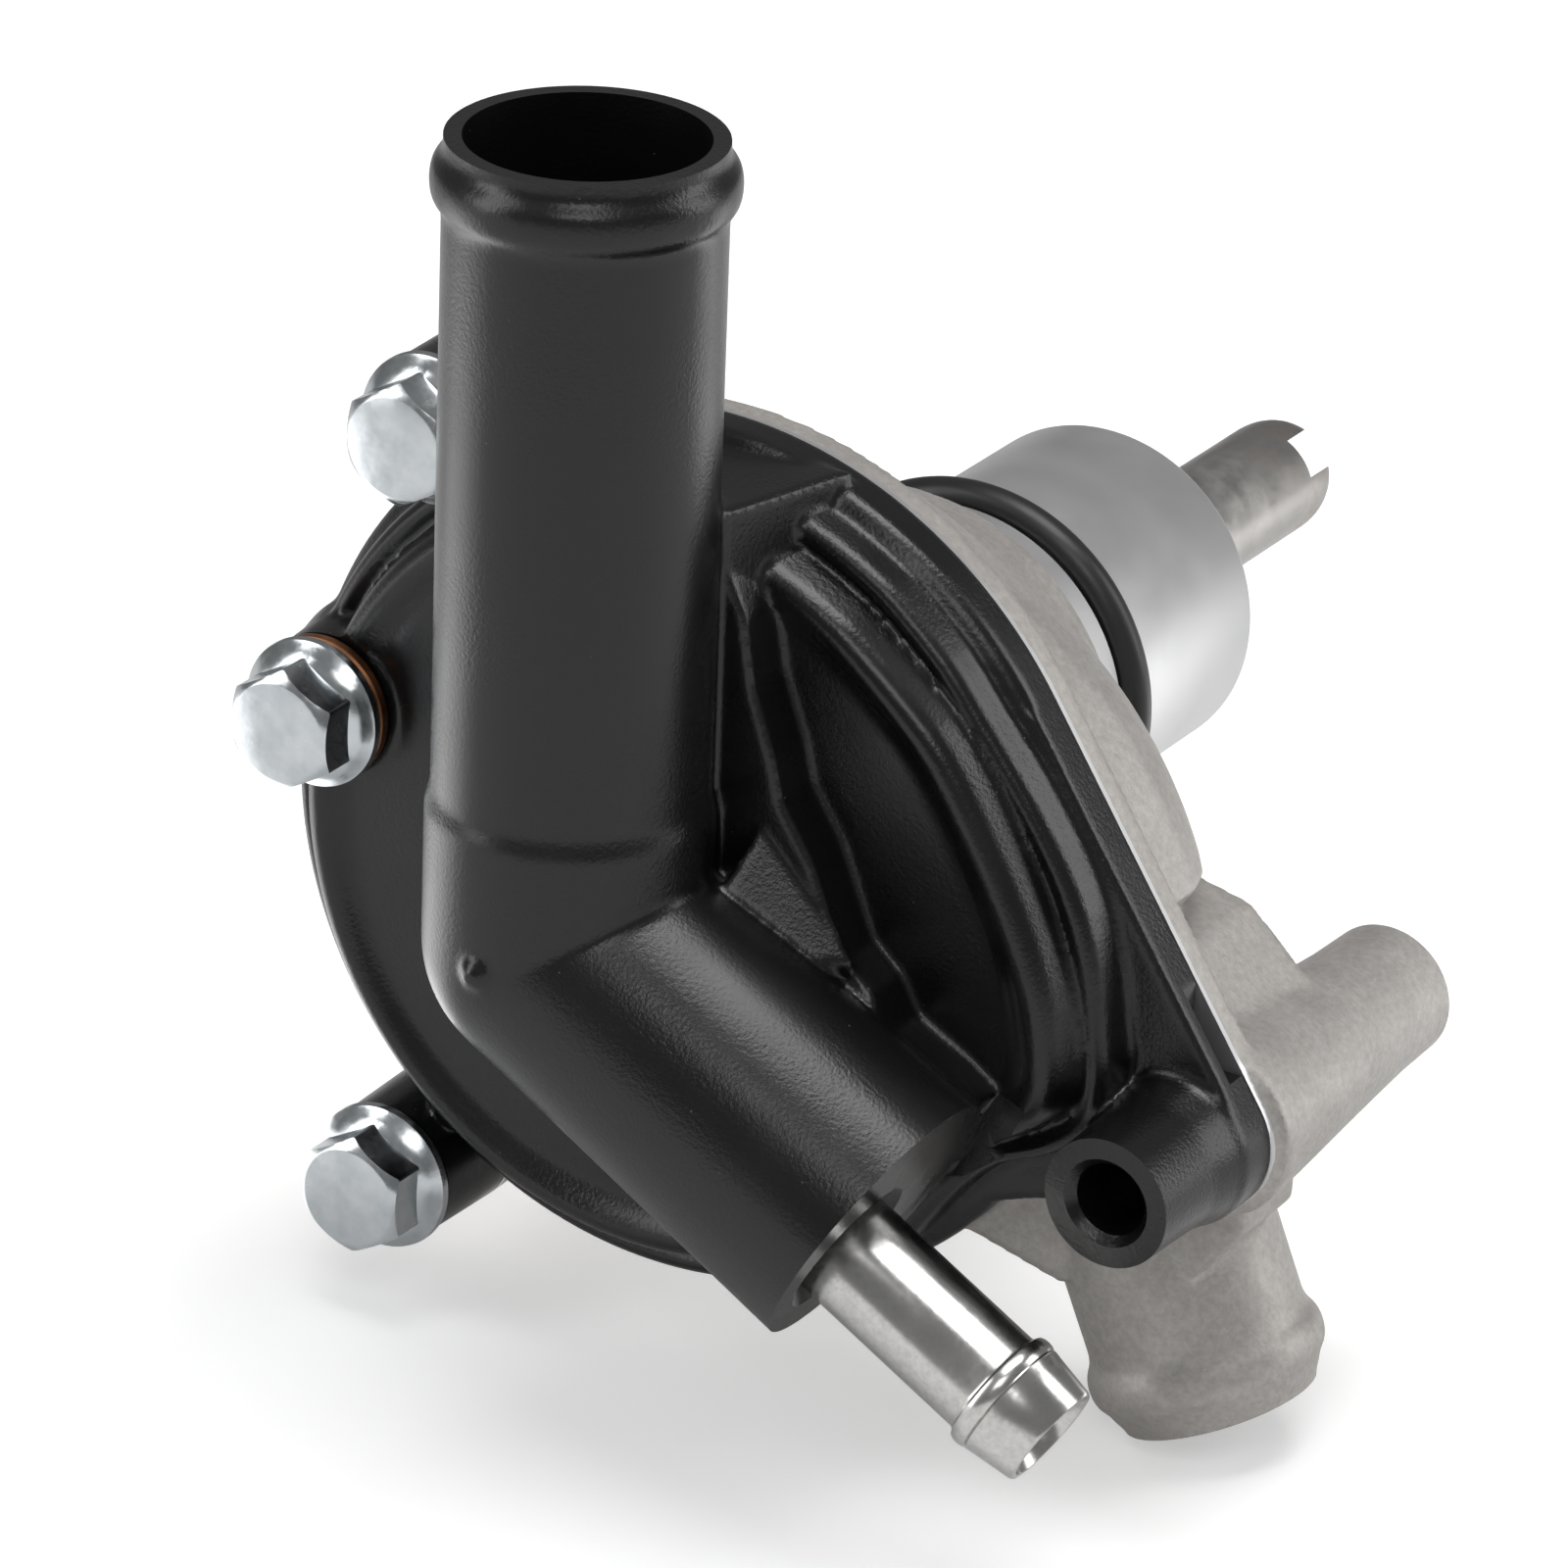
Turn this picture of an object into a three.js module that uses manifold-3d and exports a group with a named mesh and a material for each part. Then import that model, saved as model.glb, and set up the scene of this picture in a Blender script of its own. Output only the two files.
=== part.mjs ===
// Engine coolant pump, insert type: a cast cover and a cast housing carry a shaft with an impeller.
// Frame, in millimetres: +Y runs along the shaft towards the engine, +Z runs up the inlet pipe and
// +X is to the right seen from the cover. The origin is on the shaft axis, in the plane where the
// housing seats on the crankcase.
import * as THREE from "three";
import { mergeVertices } from "three/addons/utils/BufferGeometryUtils.js";
import { ConvexGeometry } from "three/addons/geometries/ConvexGeometry.js";
import Module from "manifold-3d";

const wasm = await Module();
wasm.setup();

// ---------------------------------------------------------------- clearances
const seatGap = 0.3; // between two pieces that touch in the real assembly
const runningGap = 0.4; // between a turning piece and a fixed one

// ---------------------------------------------------------------- driving dimensions
// the two castings and their joint
const jointY = -34; // parting plane of cover and housing
const flangeRadius = 40.7;
const coverFlange = 4.2; // thickness of the cover's flange
const housingFlange = 3;
const wall = 3; // casting wall

// terraces of the cover, from the flange to the front wall
const lowerStepRadius = 38.2;
const lowerStepHeight = 8;
const upperStepRadius = 34.8;
const upperStepHeight = 12;

// mounting boss, with the through hole that takes the M6 bolt into the crankcase
const bossX = 50;
const bossZ = -14;
const bossRadius = 6;
const bossLobeRadius = 7.1;
const bossLength = 16; // from the parting plane to its front face
const bossHoleRadius = 3.3;
const bossChamfer = 0.9;

// inlet pipe, elbow and branch
const pipeY = -57.3; // the pipe's axis crosses the shaft axis here
const pipeRadius = 12;
const pipeBoreRadius = 10.4;
const pipeTop = 73;
const beadRadius = 0.95; // how far the hose bead stands out
const beadBelowRim = 3.8;
const branchAngle = 29.5; // below horizontal
const branchLength = 36.5;
const branchRadius = 13.2;
const inletEyeRadius = 9;

// bypass nipple
const nippleRadius = 5.05;
const nippleBoreRadius = 3.9;
const nippleReach = 23.8; // from the branch face to the rim
const nippleSeat = 9; // how deep it is pressed in
const nippleDrop = 2.2; // below the branch axis
const nippleForward = 2.6; // in front of the branch axis

// cover bolts, drain bolt
const boltCircle = [
  { name: "cover_bolt_upper", x: -23.6, z: 36.8 },
  { name: "cover_bolt_lower", x: -27.2, z: -37 },
];
const boltPadRadius = 6.9;
const boltSeat = 9.6; // height of the bolt pads over the parting plane
const boltRadius = 3;
const boltFlangeRadius = 6.95;
const boltAcrossFlats = 10;
const boltHeadHeight = 6.2;
const boltShank = 20;
const drainX = -33;
const drainZ = 8.6;
const drainSeat = 11.6; // height of the drain boss over the parting plane
const drainShank = 9;
const washerThickness = 1.2;
const washerRadius = 6.7;
const drainSpotRadius = 7.4; // spot face milled round the drain hole

// housing behind the flange
const scrollBack = -13; // rear wall of the scroll
const scrollRadius = 33.2; // at the tongue
const scrollOpening = 8.6; // how far it opens out at the outlet
const outletAngle = 66.7; // below horizontal
const outletOffset = 26; // distance of the outlet axis from the shaft axis
const outletRadius = 9.9;
const outletBoreRadius = 7.9;
const outletReach = 61; // from the tangent point to the rim
const outletY = -23;

// snout that enters the crankcase
const snoutLength = 35;
const snoutRadius = 16.05;
const landRadius = 17.3;
const grooveStart = 8.4;
const grooveEnd = 12.6;
const grooveRadius = 15.3;
const oRingSection = 2.9;

// shaft
const shaftEnd = 71.5;
const driveRadius = 5.6;
const journalRadius = 5;
const impellerSeatRadius = 4;
const threadRadius = 3;
const slotWidth = 4.2;
const slotDepth = 6;
const slotAngle = 42; // turn of the drive slot about the shaft

// ball bearing of the 6000 size
const bearingY = 24; // its inner face
const bearingWidth = 8;
const bearingOuter = 13;
const ballCount = 7;
const ballRadius = 2.3;
const ballPitch = 9;
const raceGap = 0.15;

// ---------------------------------------------------------------- materials
function paint(colour, roughness, metalness) {
  return new THREE.MeshStandardMaterial({ color: colour, roughness, metalness });
}
const looks = {
  blackPaint: () => paint(0x141416, 0.42, 0.0),
  castAlloy: () => paint(0xa8a29c, 0.62, 0.7),
  dullSteel: () => paint(0x9b9792, 0.45, 0.9),
  zinc: () => paint(0xd5dadd, 0.25, 1.0),
  polished: () => paint(0xc9ccd0, 0.2, 1.0),
  rubber: () => paint(0x1b1b1c, 0.7, 0.0),
  carbon: () => paint(0x2c2c2e, 0.5, 0.0),
  ceramic: () => paint(0xe8e4da, 0.35, 0.0),
  copper: () => paint(0xa4643c, 0.4, 1.0),
  brass: () => paint(0xb58d45, 0.4, 1.0),
};

// ---------------------------------------------------------------- geometry helpers
const group = new THREE.Group();
const axisY = new THREE.Vector3(0, 1, 0);

function add(name, geometry, material) {
  const mesh = new THREE.Mesh(geometry, material);
  mesh.name = name;
  group.add(mesh);
  return mesh;
}

// A closed three.js geometry as a solid that can be joined and cut.
function solid(geometry) {
  const bare = geometry.index ? geometry.toNonIndexed() : geometry.clone();
  bare.deleteAttribute("normal");
  bare.deleteAttribute("uv");
  const merged = mergeVertices(bare, 1e-4);
  const mesh = new wasm.Mesh({
    numProp: 3,
    vertProperties: new Float32Array(merged.attributes.position.array),
    triVerts: new Uint32Array(merged.index.array),
  });
  return new wasm.Manifold(mesh);
}

function join(parts) {
  return parts.map(solid).reduce((whole, next) => whole.add(next));
}

function cut(whole, tools) {
  return tools.map(solid).reduce((left, next) => left.subtract(next), whole);
}

function geometryOf(made) {
  const mesh = made.getMesh();
  const geometry = new THREE.BufferGeometry();
  const points = new Float32Array(mesh.numVert * 3);
  for (let i = 0; i < mesh.numVert; i += 1) {
    for (let k = 0; k < 3; k += 1) {
      points[3 * i + k] = mesh.vertProperties[mesh.numProp * i + k];
    }
  }
  geometry.setAttribute("position", new THREE.BufferAttribute(points, 3));
  geometry.setIndex(new THREE.BufferAttribute(new Uint32Array(mesh.triVerts), 1));
  geometry.computeVertexNormals();
  return geometry;
}

// A turned piece about the Y axis. The profile runs [radius, y] from the lower y to the higher y on
// the outside, and closes on itself or on the axis.
function turned(profile, segments = 40) {
  const points = profile.map(([radius, y]) => new THREE.Vector2(radius, y));
  return new THREE.LatheGeometry(points, segments);
}

function disc(radius, y0, y1, segments = 40) {
  return turned([[0, y0], [radius, y0], [radius, y1], [0, y1]], segments);
}

function ring(inner, outer, y0, y1, segments = 40) {
  const profile = [[inner, y0], [outer, y0], [outer, y1], [inner, y1], [inner, y0]];
  return turned(profile, segments);
}

function at(geometry, x, y, z) {
  return geometry.translate(x, y, z);
}

// Lays a piece modelled along +Y onto the line through a point with a given direction.
function along(geometry, origin, direction) {
  const turn = new THREE.Quaternion().setFromUnitVectors(axisY, direction.clone().normalize());
  return geometry.applyQuaternion(turn).translate(origin.x, origin.y, origin.z);
}

function point(x, y, z) {
  return new THREE.Vector3(x, y, z);
}

// A plate: an outline in the XZ plane, given thickness from y0 up to y1.
function plate(shape, y0, y1, curveSegments = 20) {
  const geometry = new THREE.ExtrudeGeometry(shape, {
    depth: y1 - y0,
    bevelEnabled: false,
    curveSegments,
  });
  return geometry.rotateX(Math.PI / 2).translate(0, y1, 0);
}

function polar(radius, degrees) {
  const turn = THREE.MathUtils.degToRad(degrees);
  return [radius * Math.cos(turn), radius * Math.sin(turn)];
}

function polygon(points) {
  return new THREE.Shape(points.map(([x, z]) => new THREE.Vector2(x, z)));
}

// ---------------------------------------------------------------- shared outlines
// The joint's outline: a round flange drawn out to the mounting boss, with a lobe at each bolt.
const drawnOutAngle = 34; // where the straight upper edge leaves the round flange
const lowerFilletAngle = -46; // where the concave lower edge leaves it

function drawnOutShape(radius, lobe) {
  const [edgeX, edgeZ] = polar(radius, drawnOutAngle);
  const [lobeX, lobeZ] = polar(lobe, drawnOutAngle);
  const [backX, backZ] = polar(lobe, -115);
  const [rootX, rootZ] = polar(radius - 2, lowerFilletAngle);
  const shape = new THREE.Shape();
  shape.moveTo(0, 0);
  shape.lineTo(rootX, rootZ);
  shape.quadraticCurveTo(rootX + 5.3, rootZ + 4.7, bossX + backX, bossZ + backZ);
  shape.lineTo(bossX, bossZ);
  shape.lineTo(bossX + lobeX, bossZ + lobeZ);
  shape.lineTo(edgeX, edgeZ);
  shape.closePath();
  return shape;
}

function flangePieces(y0, y1) {
  const pieces = [disc(flangeRadius, y0, y1, 48)];
  pieces.push(plate(drawnOutShape(flangeRadius, bossLobeRadius), y0, y1, 6));
  pieces.push(at(disc(bossLobeRadius, y0, y1, 20), bossX, 0, bossZ));
  boltCircle.forEach(({ x, z }) => {
    pieces.push(at(disc(boltPadRadius, y0, y1, 18), x, 0, z));
  });
  return pieces;
}

// ---------------------------------------------------------------- cover
const coverFace = jointY - seatGap;
const shaftPoint = point(0, pipeY, 0);
const branchTurn = THREE.MathUtils.degToRad(branchAngle);
const branchWay = point(Math.cos(branchTurn), 0, -Math.sin(branchTurn));
const nippleAxisPoint = point(
  -nippleDrop * Math.sin(branchTurn),
  pipeY - nippleForward,
  -nippleDrop * Math.cos(branchTurn),
);
const nippleBoreStart = branchLength - nippleSeat - 2.5;

function coverSteps() {
  const lowerTop = jointY - lowerStepHeight;
  const upperTop = jointY - upperStepHeight;
  const soft = 1.4; // rounding of each step's edge
  return turned([
    [0, upperTop + 0.6],
    [upperStepRadius - 8, upperTop + 0.6],
    [upperStepRadius - 5, upperTop],
    [upperStepRadius - soft, upperTop],
    [upperStepRadius, upperTop + soft],
    [upperStepRadius + 0.3, lowerTop + 0.5],
    [lowerStepRadius - soft, lowerTop],
    [lowerStepRadius, lowerTop + soft],
    [lowerStepRadius + 0.4, jointY - coverFlange + 0.6],
    [lowerStepRadius + 0.4, coverFace - 1],
    [0, coverFace - 1],
  ], 48);
}

// The rib that carries the inlet pipe down the front of the cover, with its flat roof.
const ribHalfWidth = 11.6;
const ribRoof = 39;
function pipeRib() {
  const shape = new THREE.Shape();
  shape.moveTo(-ribHalfWidth - 1, coverFace - 0.5);
  shape.lineTo(-ribHalfWidth + 1, pipeY + 4);
  shape.lineTo(ribHalfWidth - 1, pipeY + 4);
  shape.lineTo(ribHalfWidth + 1, coverFace - 0.5);
  shape.closePath();
  const depth = ribRoof + 8;
  return new THREE.ExtrudeGeometry(shape, { depth, bevelEnabled: false }).translate(0, 0, -8);
}

function inletPipe() {
  const beadZ = pipeTop - beadBelowRim;
  const profile = [
    [0, 0],
    [pipeRadius + 0.45, 0],
    [pipeRadius + 0.45, 11],
    [pipeRadius, 12],
    [pipeRadius, beadZ - 3],
    [pipeRadius + beadRadius * 0.75, beadZ - 1.6],
    [pipeRadius + beadRadius, beadZ],
    [pipeRadius + beadRadius * 0.75, beadZ + 1.6],
    [pipeRadius - 0.1, beadZ + 2.8],
    [pipeRadius - 0.1, pipeTop - 0.4],
    [pipeRadius - 0.5, pipeTop],
    [0, pipeTop],
  ];
  return turned(profile, 28).rotateX(Math.PI / 2).translate(0, pipeY, 0);
}

function elbowBall(radius, widthSegments = 24) {
  return new THREE.SphereGeometry(radius, widthSegments, 12).translate(0, pipeY, 0);
}

function branchBody() {
  const profile = [
    [0, 0],
    [pipeRadius + 0.5, 0],
    [branchRadius, branchLength - 0.6],
    [branchRadius - 0.6, branchLength],
    [0, branchLength],
  ];
  return along(turned(profile, 28), shaftPoint, branchWay);
}

// The fillet of metal in the corner of pipe, branch and front wall.
function cornerGusset() {
  const top = jointY - upperStepHeight + 1;
  const corners = [
    [9, top, -2], [9, top, 15], [22, top, -1.5], [22, top, -4], [9, top, -10],
    [9, pipeY, 1.5], [11, pipeY, 1.5], [9, pipeY, -8], [12.5, pipeY, -6],
  ];
  return new ConvexGeometry(corners.map(([x, y, z]) => point(x, y, z)));
}

// Both steps are drawn out towards the mounting boss, where they end in rounded tips.
const lowerEar = [
  [18, 32], [27.6, 27.3], [31.5, 22.6], [36.7, 16.1], [41, 9.4], [43.5, 2.7], [44.6, -4],
  [45, -8], [44, -12.5], [40, -16], [34.6, -18.6], [30.5, -22.5], [24, -28.5],
];
const upperEar = [
  [17, 29.5], [25.3, 25], [30.2, 20.3], [35.2, 13], [38.5, 6.8], [40.8, 1], [41.8, -4],
  [41.9, -8], [41, -11], [38, -13.4], [33, -16.5], [28.2, -20.8], [21, -26.5],
];
function coverEars() {
  return [
    plate(polygon(lowerEar), jointY - lowerStepHeight, coverFace - 0.5, 1),
    plate(polygon(upperEar), jointY - upperStepHeight + 0.6, coverFace - 0.5, 1),
  ];
}

function mountingBoss() {
  const front = jointY - bossLength;
  const profile = [
    [0, front],
    [bossRadius - 0.3, front],
    [bossRadius, front + 0.4],
    [bossRadius + 0.2, jointY - 8],
    [bossLobeRadius - 0.2, jointY - coverFlange],
    [bossLobeRadius - 0.2, coverFace - 0.5],
    [0, coverFace - 0.5],
  ];
  return at(turned(profile, 20), bossX, 0, bossZ);
}

function boltPad({ x, z }) {
  const seat = jointY - boltSeat;
  const base = coverFace - 0.5;
  const profile = [[0, seat], [boltPadRadius - 0.3, seat], [boltPadRadius, base], [0, base]];
  return at(turned(profile, 18), x, 0, z);
}

function drainBoss() {
  const seat = jointY - drainSeat;
  const base = jointY - 5;
  return at(turned([[0, seat], [6.5, seat], [7.4, base], [0, base]], 20), drainX, 0, drainZ);
}

function hole(x, z, radius, y0, y1, segments = 16) {
  return at(disc(radius, y0, y1, segments), x, 0, z);
}

function chamfer(x, z, radius, depth, faceY) {
  const front = faceY - 0.2;
  const bottom = faceY + depth;
  const profile = [[0, front], [radius + depth + 0.2, front], [radius, bottom], [0, bottom]];
  return at(turned(profile, 16), x, 0, z);
}

const impellerRoom = -42.6; // front wall of the impeller chamber
const chamberRadius = 33;
function coverChamber() {
  return turned([
    [0, impellerRoom],
    [chamberRadius - 3.5, impellerRoom],
    [chamberRadius, jointY - 5],
    [chamberRadius, jointY + 1],
    [0, jointY + 1],
  ], 36);
}

function pryNotch() {
  return new THREE.BoxGeometry(8, 3, 8).translate(52.4, jointY - 1.4, -3.2);
}

const dowelOuter = boltRadius + 1.2;
const dowelHalf = 3.4;

function makeCover() {
  const outside = join([
    ...flangePieces(jointY - coverFlange, coverFace),
    coverSteps(),
    pipeRib(),
    inletPipe(),
    elbowBall(pipeRadius + 0.5),
    branchBody(),
    cornerGusset(),
    ...coverEars(),
    mountingBoss(),
    drainBoss(),
    ...boltCircle.map(boltPad),
  ]);
  const bore = disc(pipeBoreRadius, 0, pipeTop + 1, 24).rotateX(Math.PI / 2).translate(0, pipeY, 0);
  const branchBore = along(disc(branchRadius - wall, 0, nippleBoreStart - 1, 24), shaftPoint, branchWay);
  const nippleBore = along(
    disc(nippleRadius + seatGap, nippleBoreStart - 6, branchLength + 1, 20),
    nippleAxisPoint,
    branchWay,
  );
  const front = jointY - bossLength;
  const tools = [
    coverChamber(),
    bore,
    elbowBall(pipeBoreRadius, 20),
    branchBore,
    nippleBore,
    disc(inletEyeRadius, pipeY, impellerRoom + 1, 24),
    hole(bossX, bossZ, bossHoleRadius, front - 1, jointY + 1),
    chamfer(bossX, bossZ, bossHoleRadius, bossChamfer, front),
    hole(drainX, drainZ, boltRadius + seatGap, jointY - drainSeat - 1, jointY - 3),
    hole(drainX, drainZ, drainSpotRadius, jointY - drainSeat - 3, jointY - drainSeat, 20),
    pryNotch(),
  ];
  boltCircle.forEach(({ x, z }) => {
    tools.push(hole(x, z, boltRadius + seatGap, jointY - boltSeat - 1, jointY + 1));
    tools.push(hole(x, z, dowelOuter + seatGap, jointY - dowelHalf - seatGap, jointY + 1));
  });
  return geometryOf(cut(outside, tools));
}
add("cover", makeCover(), looks.blackPaint());

// ---------------------------------------------------------------- bypass nipple
function makeNipple() {
  const rim = branchLength + nippleReach;
  const bead = rim - 8;
  const start = branchLength - nippleSeat;
  const profile = [
    [nippleBoreRadius, start],
    [nippleRadius, start],
    [nippleRadius, bead - 1.4],
    [nippleRadius + 0.7, bead - 0.4],
    [nippleRadius + 0.75, bead + 0.9],
    [nippleRadius + 0.45, bead + 2],
    [nippleRadius - 0.15, rim],
    [nippleRadius - 0.75, rim],
    [nippleBoreRadius, rim - 1.6],
    [nippleBoreRadius, start],
  ];
  return along(turned(profile, 24), nippleAxisPoint, branchWay);
}
add("bypass_nipple", makeNipple(), looks.polished());

// ---------------------------------------------------------------- bolts and washer
// A flange bolt along +Y with its bearing face at y = 0 and its head towards -Y.
function flangeBolt(shank, radius = boltRadius) {
  const corner = boltAcrossFlats / 2 / Math.cos(Math.PI / 6);
  const hexagon = disc(corner, -boltHeadHeight, -0.8, 6);
  const crown = turned([
    [0, -boltHeadHeight],
    [corner - 0.9, -boltHeadHeight],
    [corner + 0.1, -boltHeadHeight + 0.75],
    [corner + 0.1, 0],
    [0, 0],
  ], 24);
  const head = solid(hexagon).intersect(solid(crown));
  const collar = turned([
    [0, -2.2], [corner - 0.5, -2.2], [boltFlangeRadius, -1], [boltFlangeRadius, 0], [0, 0],
  ], 24);
  const thread = turned([
    [0, -0.4], [radius, -0.4], [radius, shank - 0.6], [radius - 0.6, shank], [0, shank],
  ], 16);
  return geometryOf(head.add(solid(collar)).add(solid(thread)));
}

boltCircle.forEach(({ name, x, z }) => {
  const bolt = flangeBolt(boltShank);
  add(name, at(bolt, x, jointY - boltSeat - seatGap, z), looks.zinc());
});
const drainFace = jointY - drainSeat - seatGap;
const drainWasher = ring(boltRadius + seatGap, washerRadius, drainFace - washerThickness, drainFace, 24);
add("drain_washer", at(drainWasher, drainX, 0, drainZ), looks.copper());
const drainBolt = flangeBolt(drainShank);
add("drain_bolt", at(drainBolt, drainX, drainFace - washerThickness - seatGap, drainZ), looks.zinc());

// ---------------------------------------------------------------- housing
const outletTurn = THREE.MathUtils.degToRad(outletAngle);
const outletWay = point(Math.cos(outletTurn), 0, -Math.sin(outletTurn));
const outletStart = point(
  outletOffset * Math.sin(outletTurn),
  outletY,
  outletOffset * Math.cos(outletTurn),
);

// The scroll grows clockwise, seen from the cover, and opens out quickly just before the outlet.
const tongueAngle = -50;
const outletMeets = 5;
const opensAt = 0.84; // share of the turn after which it opens out
function scrollShape(inset) {
  const sweep = 360 + tongueAngle - outletMeets;
  const steps = 30;
  const points = [];
  for (let i = 0; i <= steps; i += 1) {
    const share = i / steps;
    const opening = Math.max(0, (share - opensAt) / (1 - opensAt));
    const radius = scrollRadius + share + scrollOpening * opening - inset;
    points.push(polar(radius, tongueAngle - sweep * share));
  }
  return polygon(points.reverse());
}

function scrollBody() {
  const edge = 4.5;
  const geometry = new THREE.ExtrudeGeometry(scrollShape(0), {
    depth: scrollBack - jointY - 2 * edge,
    bevelEnabled: true,
    bevelThickness: edge,
    bevelSize: edge,
    bevelOffset: -edge,
    bevelSegments: 2,
  });
  return geometry.rotateX(Math.PI / 2).translate(0, scrollBack - edge, 0);
}

function hubAndSnout() {
  return turned([
    [0, scrollBack - 4],
    [29, scrollBack - 4],
    [27.5, scrollBack],
    [22.8, -4],
    [22, 0],
    [landRadius, 0],
    [landRadius, grooveStart - 0.3],
    [landRadius - 0.3, grooveStart],
    [grooveRadius, grooveStart],
    [grooveRadius, grooveEnd],
    [snoutRadius, grooveEnd],
    [snoutRadius, snoutLength - 0.6],
    [snoutRadius - 0.6, snoutLength],
    [0, snoutLength],
  ], 40);
}

function outletPipe() {
  const bead = outletReach - 5;
  const profile = [
    [0, 12],
    [outletRadius + 0.4, 12],
    [outletRadius, 24],
    [outletRadius, bead - 2.6],
    [outletRadius + 0.8, bead - 1.2],
    [outletRadius + 0.95, bead],
    [outletRadius + 0.6, bead + 1.5],
    [outletRadius - 0.2, bead + 2.4],
    [outletRadius - 0.2, outletReach - 1.4],
    [outletRadius - 1.2, outletReach],
    [0, outletReach],
  ];
  return along(turned(profile, 28), outletStart, outletWay);
}

function housingBoss() {
  const profile = [[0, jointY + 1], [8.6, jointY + 1], [6.3, 0], [0, 0]];
  return at(turned(profile, 20), bossX, 0, bossZ);
}

// Webs that tie the mounting boss and the outlet to the scroll.
function housingWeb() {
  const shape = polygon([
    [28, 6], [43, 0], [50, -6.5], [53, -8], [53, -20], [44, -22], [34, -34], [20, -30],
  ]);
  return plate(shape, jointY + 1.5, scrollBack - 3, 1);
}

const boltHoleDepth = boltShank - boltSeat + 2;
function boltBoss({ x, z }) {
  const end = jointY + boltHoleDepth + 3;
  return at(turned([[0, jointY + 1], [6.8, jointY + 1], [5.8, end], [0, end]], 18), x, 0, z);
}

const channelInner = 17.6; // the wall between the seal's bore and the water channel
const channelFloor = -17.5;
const coreFront = -27.2;
const sealBore = 14.1;
const sealFloor = -16.4; // the seal's case is pressed in down to here
function waterPassages() {
  const whole = solid(plate(scrollShape(wall), jointY - 1, channelFloor, 1));
  const core = disc(channelInner, coreFront, channelFloor + 1, 32);
  const bore = along(disc(outletBoreRadius, 4, outletReach + 1, 24), outletStart, outletWay);
  return [geometryOf(cut(whole, [core])), bore];
}

// The stepped bore for seal, bush, oil seal and bearing, wider at the engine end.
const bearingBore = bearingOuter + 0.2;
const circlipY = bearingY + bearingWidth + seatGap;
function shaftBore() {
  return turned([
    [0, coreFront - 1],
    [sealBore, coreFront - 1],
    [sealBore, sealFloor],
    [6.6, sealFloor],
    [6.6, -10.4],
    [7.8, -10.4],
    [7.8, 2.4],
    [6.6, 2.4],
    [6.6, 7.6],
    [11, 7.6],
    [11, 15],
    [11.4, bearingY - seatGap],
    [bearingBore, bearingY - seatGap],
    [bearingBore, circlipY],
    [bearingBore + 0.9, circlipY],
    [bearingBore + 0.9, circlipY + 1.6],
    [bearingBore, circlipY + 1.6],
    [bearingBore, snoutLength + 1],
    [0, snoutLength + 1],
  ], 32);
}

// Drips past the seal leave through this hole at the bottom of the hub.
function weepHole() {
  return disc(2, 0, 34, 10).rotateX(-Math.PI / 2).translate(0, -12.8, 0);
}

const coverRingRadius = 37.2;
const coverRingSection = 1.5;
function coverRingGroove() {
  const half = coverRingSection / 2 + 0.2;
  return ring(coverRingRadius - half, coverRingRadius + half, jointY - 1, jointY + 2, 36);
}

function makeHousing() {
  const outside = join([
    ...flangePieces(jointY, jointY + housingFlange),
    scrollBody(),
    hubAndSnout(),
    outletPipe(),
    housingBoss(),
    housingWeb(),
    ...boltCircle.map(boltBoss),
  ]);
  const tools = [
    ...waterPassages(),
    shaftBore(),
    weepHole(),
    coverRingGroove(),
    hole(bossX, bossZ, bossHoleRadius, jointY - 1, 1),
  ];
  boltCircle.forEach(({ x, z }) => {
    tools.push(hole(x, z, boltRadius + seatGap, jointY - 1, jointY + boltHoleDepth));
    tools.push(hole(x, z, dowelOuter + seatGap, jointY - 1, jointY + dowelHalf + seatGap));
  });
  return geometryOf(cut(outside, tools));
}
add("housing", makeHousing(), looks.castAlloy());

function torus(radius, section, y, around, tubeSides) {
  return new THREE.TorusGeometry(radius, section, tubeSides, around).rotateX(Math.PI / 2).translate(0, y, 0);
}

const coverRingY = jointY + 2 - coverRingSection / 2 - 0.2;
add("cover_o_ring", torus(coverRingRadius, coverRingSection / 2, coverRingY, 36, 6), looks.rubber());
const snoutRingRadius = grooveRadius + seatGap + oRingSection / 2;
const snoutRingY = (grooveStart + grooveEnd) / 2;
add("snout_o_ring", torus(snoutRingRadius, oRingSection / 2, snoutRingY, 40, 8), looks.rubber());

boltCircle.forEach(({ name, x, z }) => {
  const dowel = ring(boltRadius + seatGap + 0.1, dowelOuter, jointY - dowelHalf, jointY + dowelHalf, 16);
  add(name.replace("cover_bolt", "dowel"), at(dowel, x, 0, z), looks.dullSteel());
});

// ---------------------------------------------------------------- shaft
const hubFront = -36.4;
const nutFront = hubFront - seatGap - 4.8;
function makeShaft() {
  const body = solid(turned([
    [0, nutFront - 1],
    [threadRadius - 0.5, nutFront - 1],
    [threadRadius, nutFront - 0.5],
    [threadRadius, hubFront + 0.8],
    [impellerSeatRadius, hubFront + 0.8],
    [impellerSeatRadius, -28.6],
    [journalRadius, -28.6],
    [journalRadius, bearingY + bearingWidth + seatGap],
    [driveRadius, bearingY + bearingWidth + seatGap],
    [driveRadius, shaftEnd - 2.4],
    [driveRadius - 0.5, shaftEnd - 0.8],
    [driveRadius - 1.6, shaftEnd],
    [0, shaftEnd],
  ], 24));
  const slot = new THREE.BoxGeometry(4 * driveRadius, slotDepth * 2, slotWidth)
    .rotateY(-THREE.MathUtils.degToRad(slotAngle))
    .translate(0, shaftEnd, 0);
  return geometryOf(body.subtract(solid(slot)));
}
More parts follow.
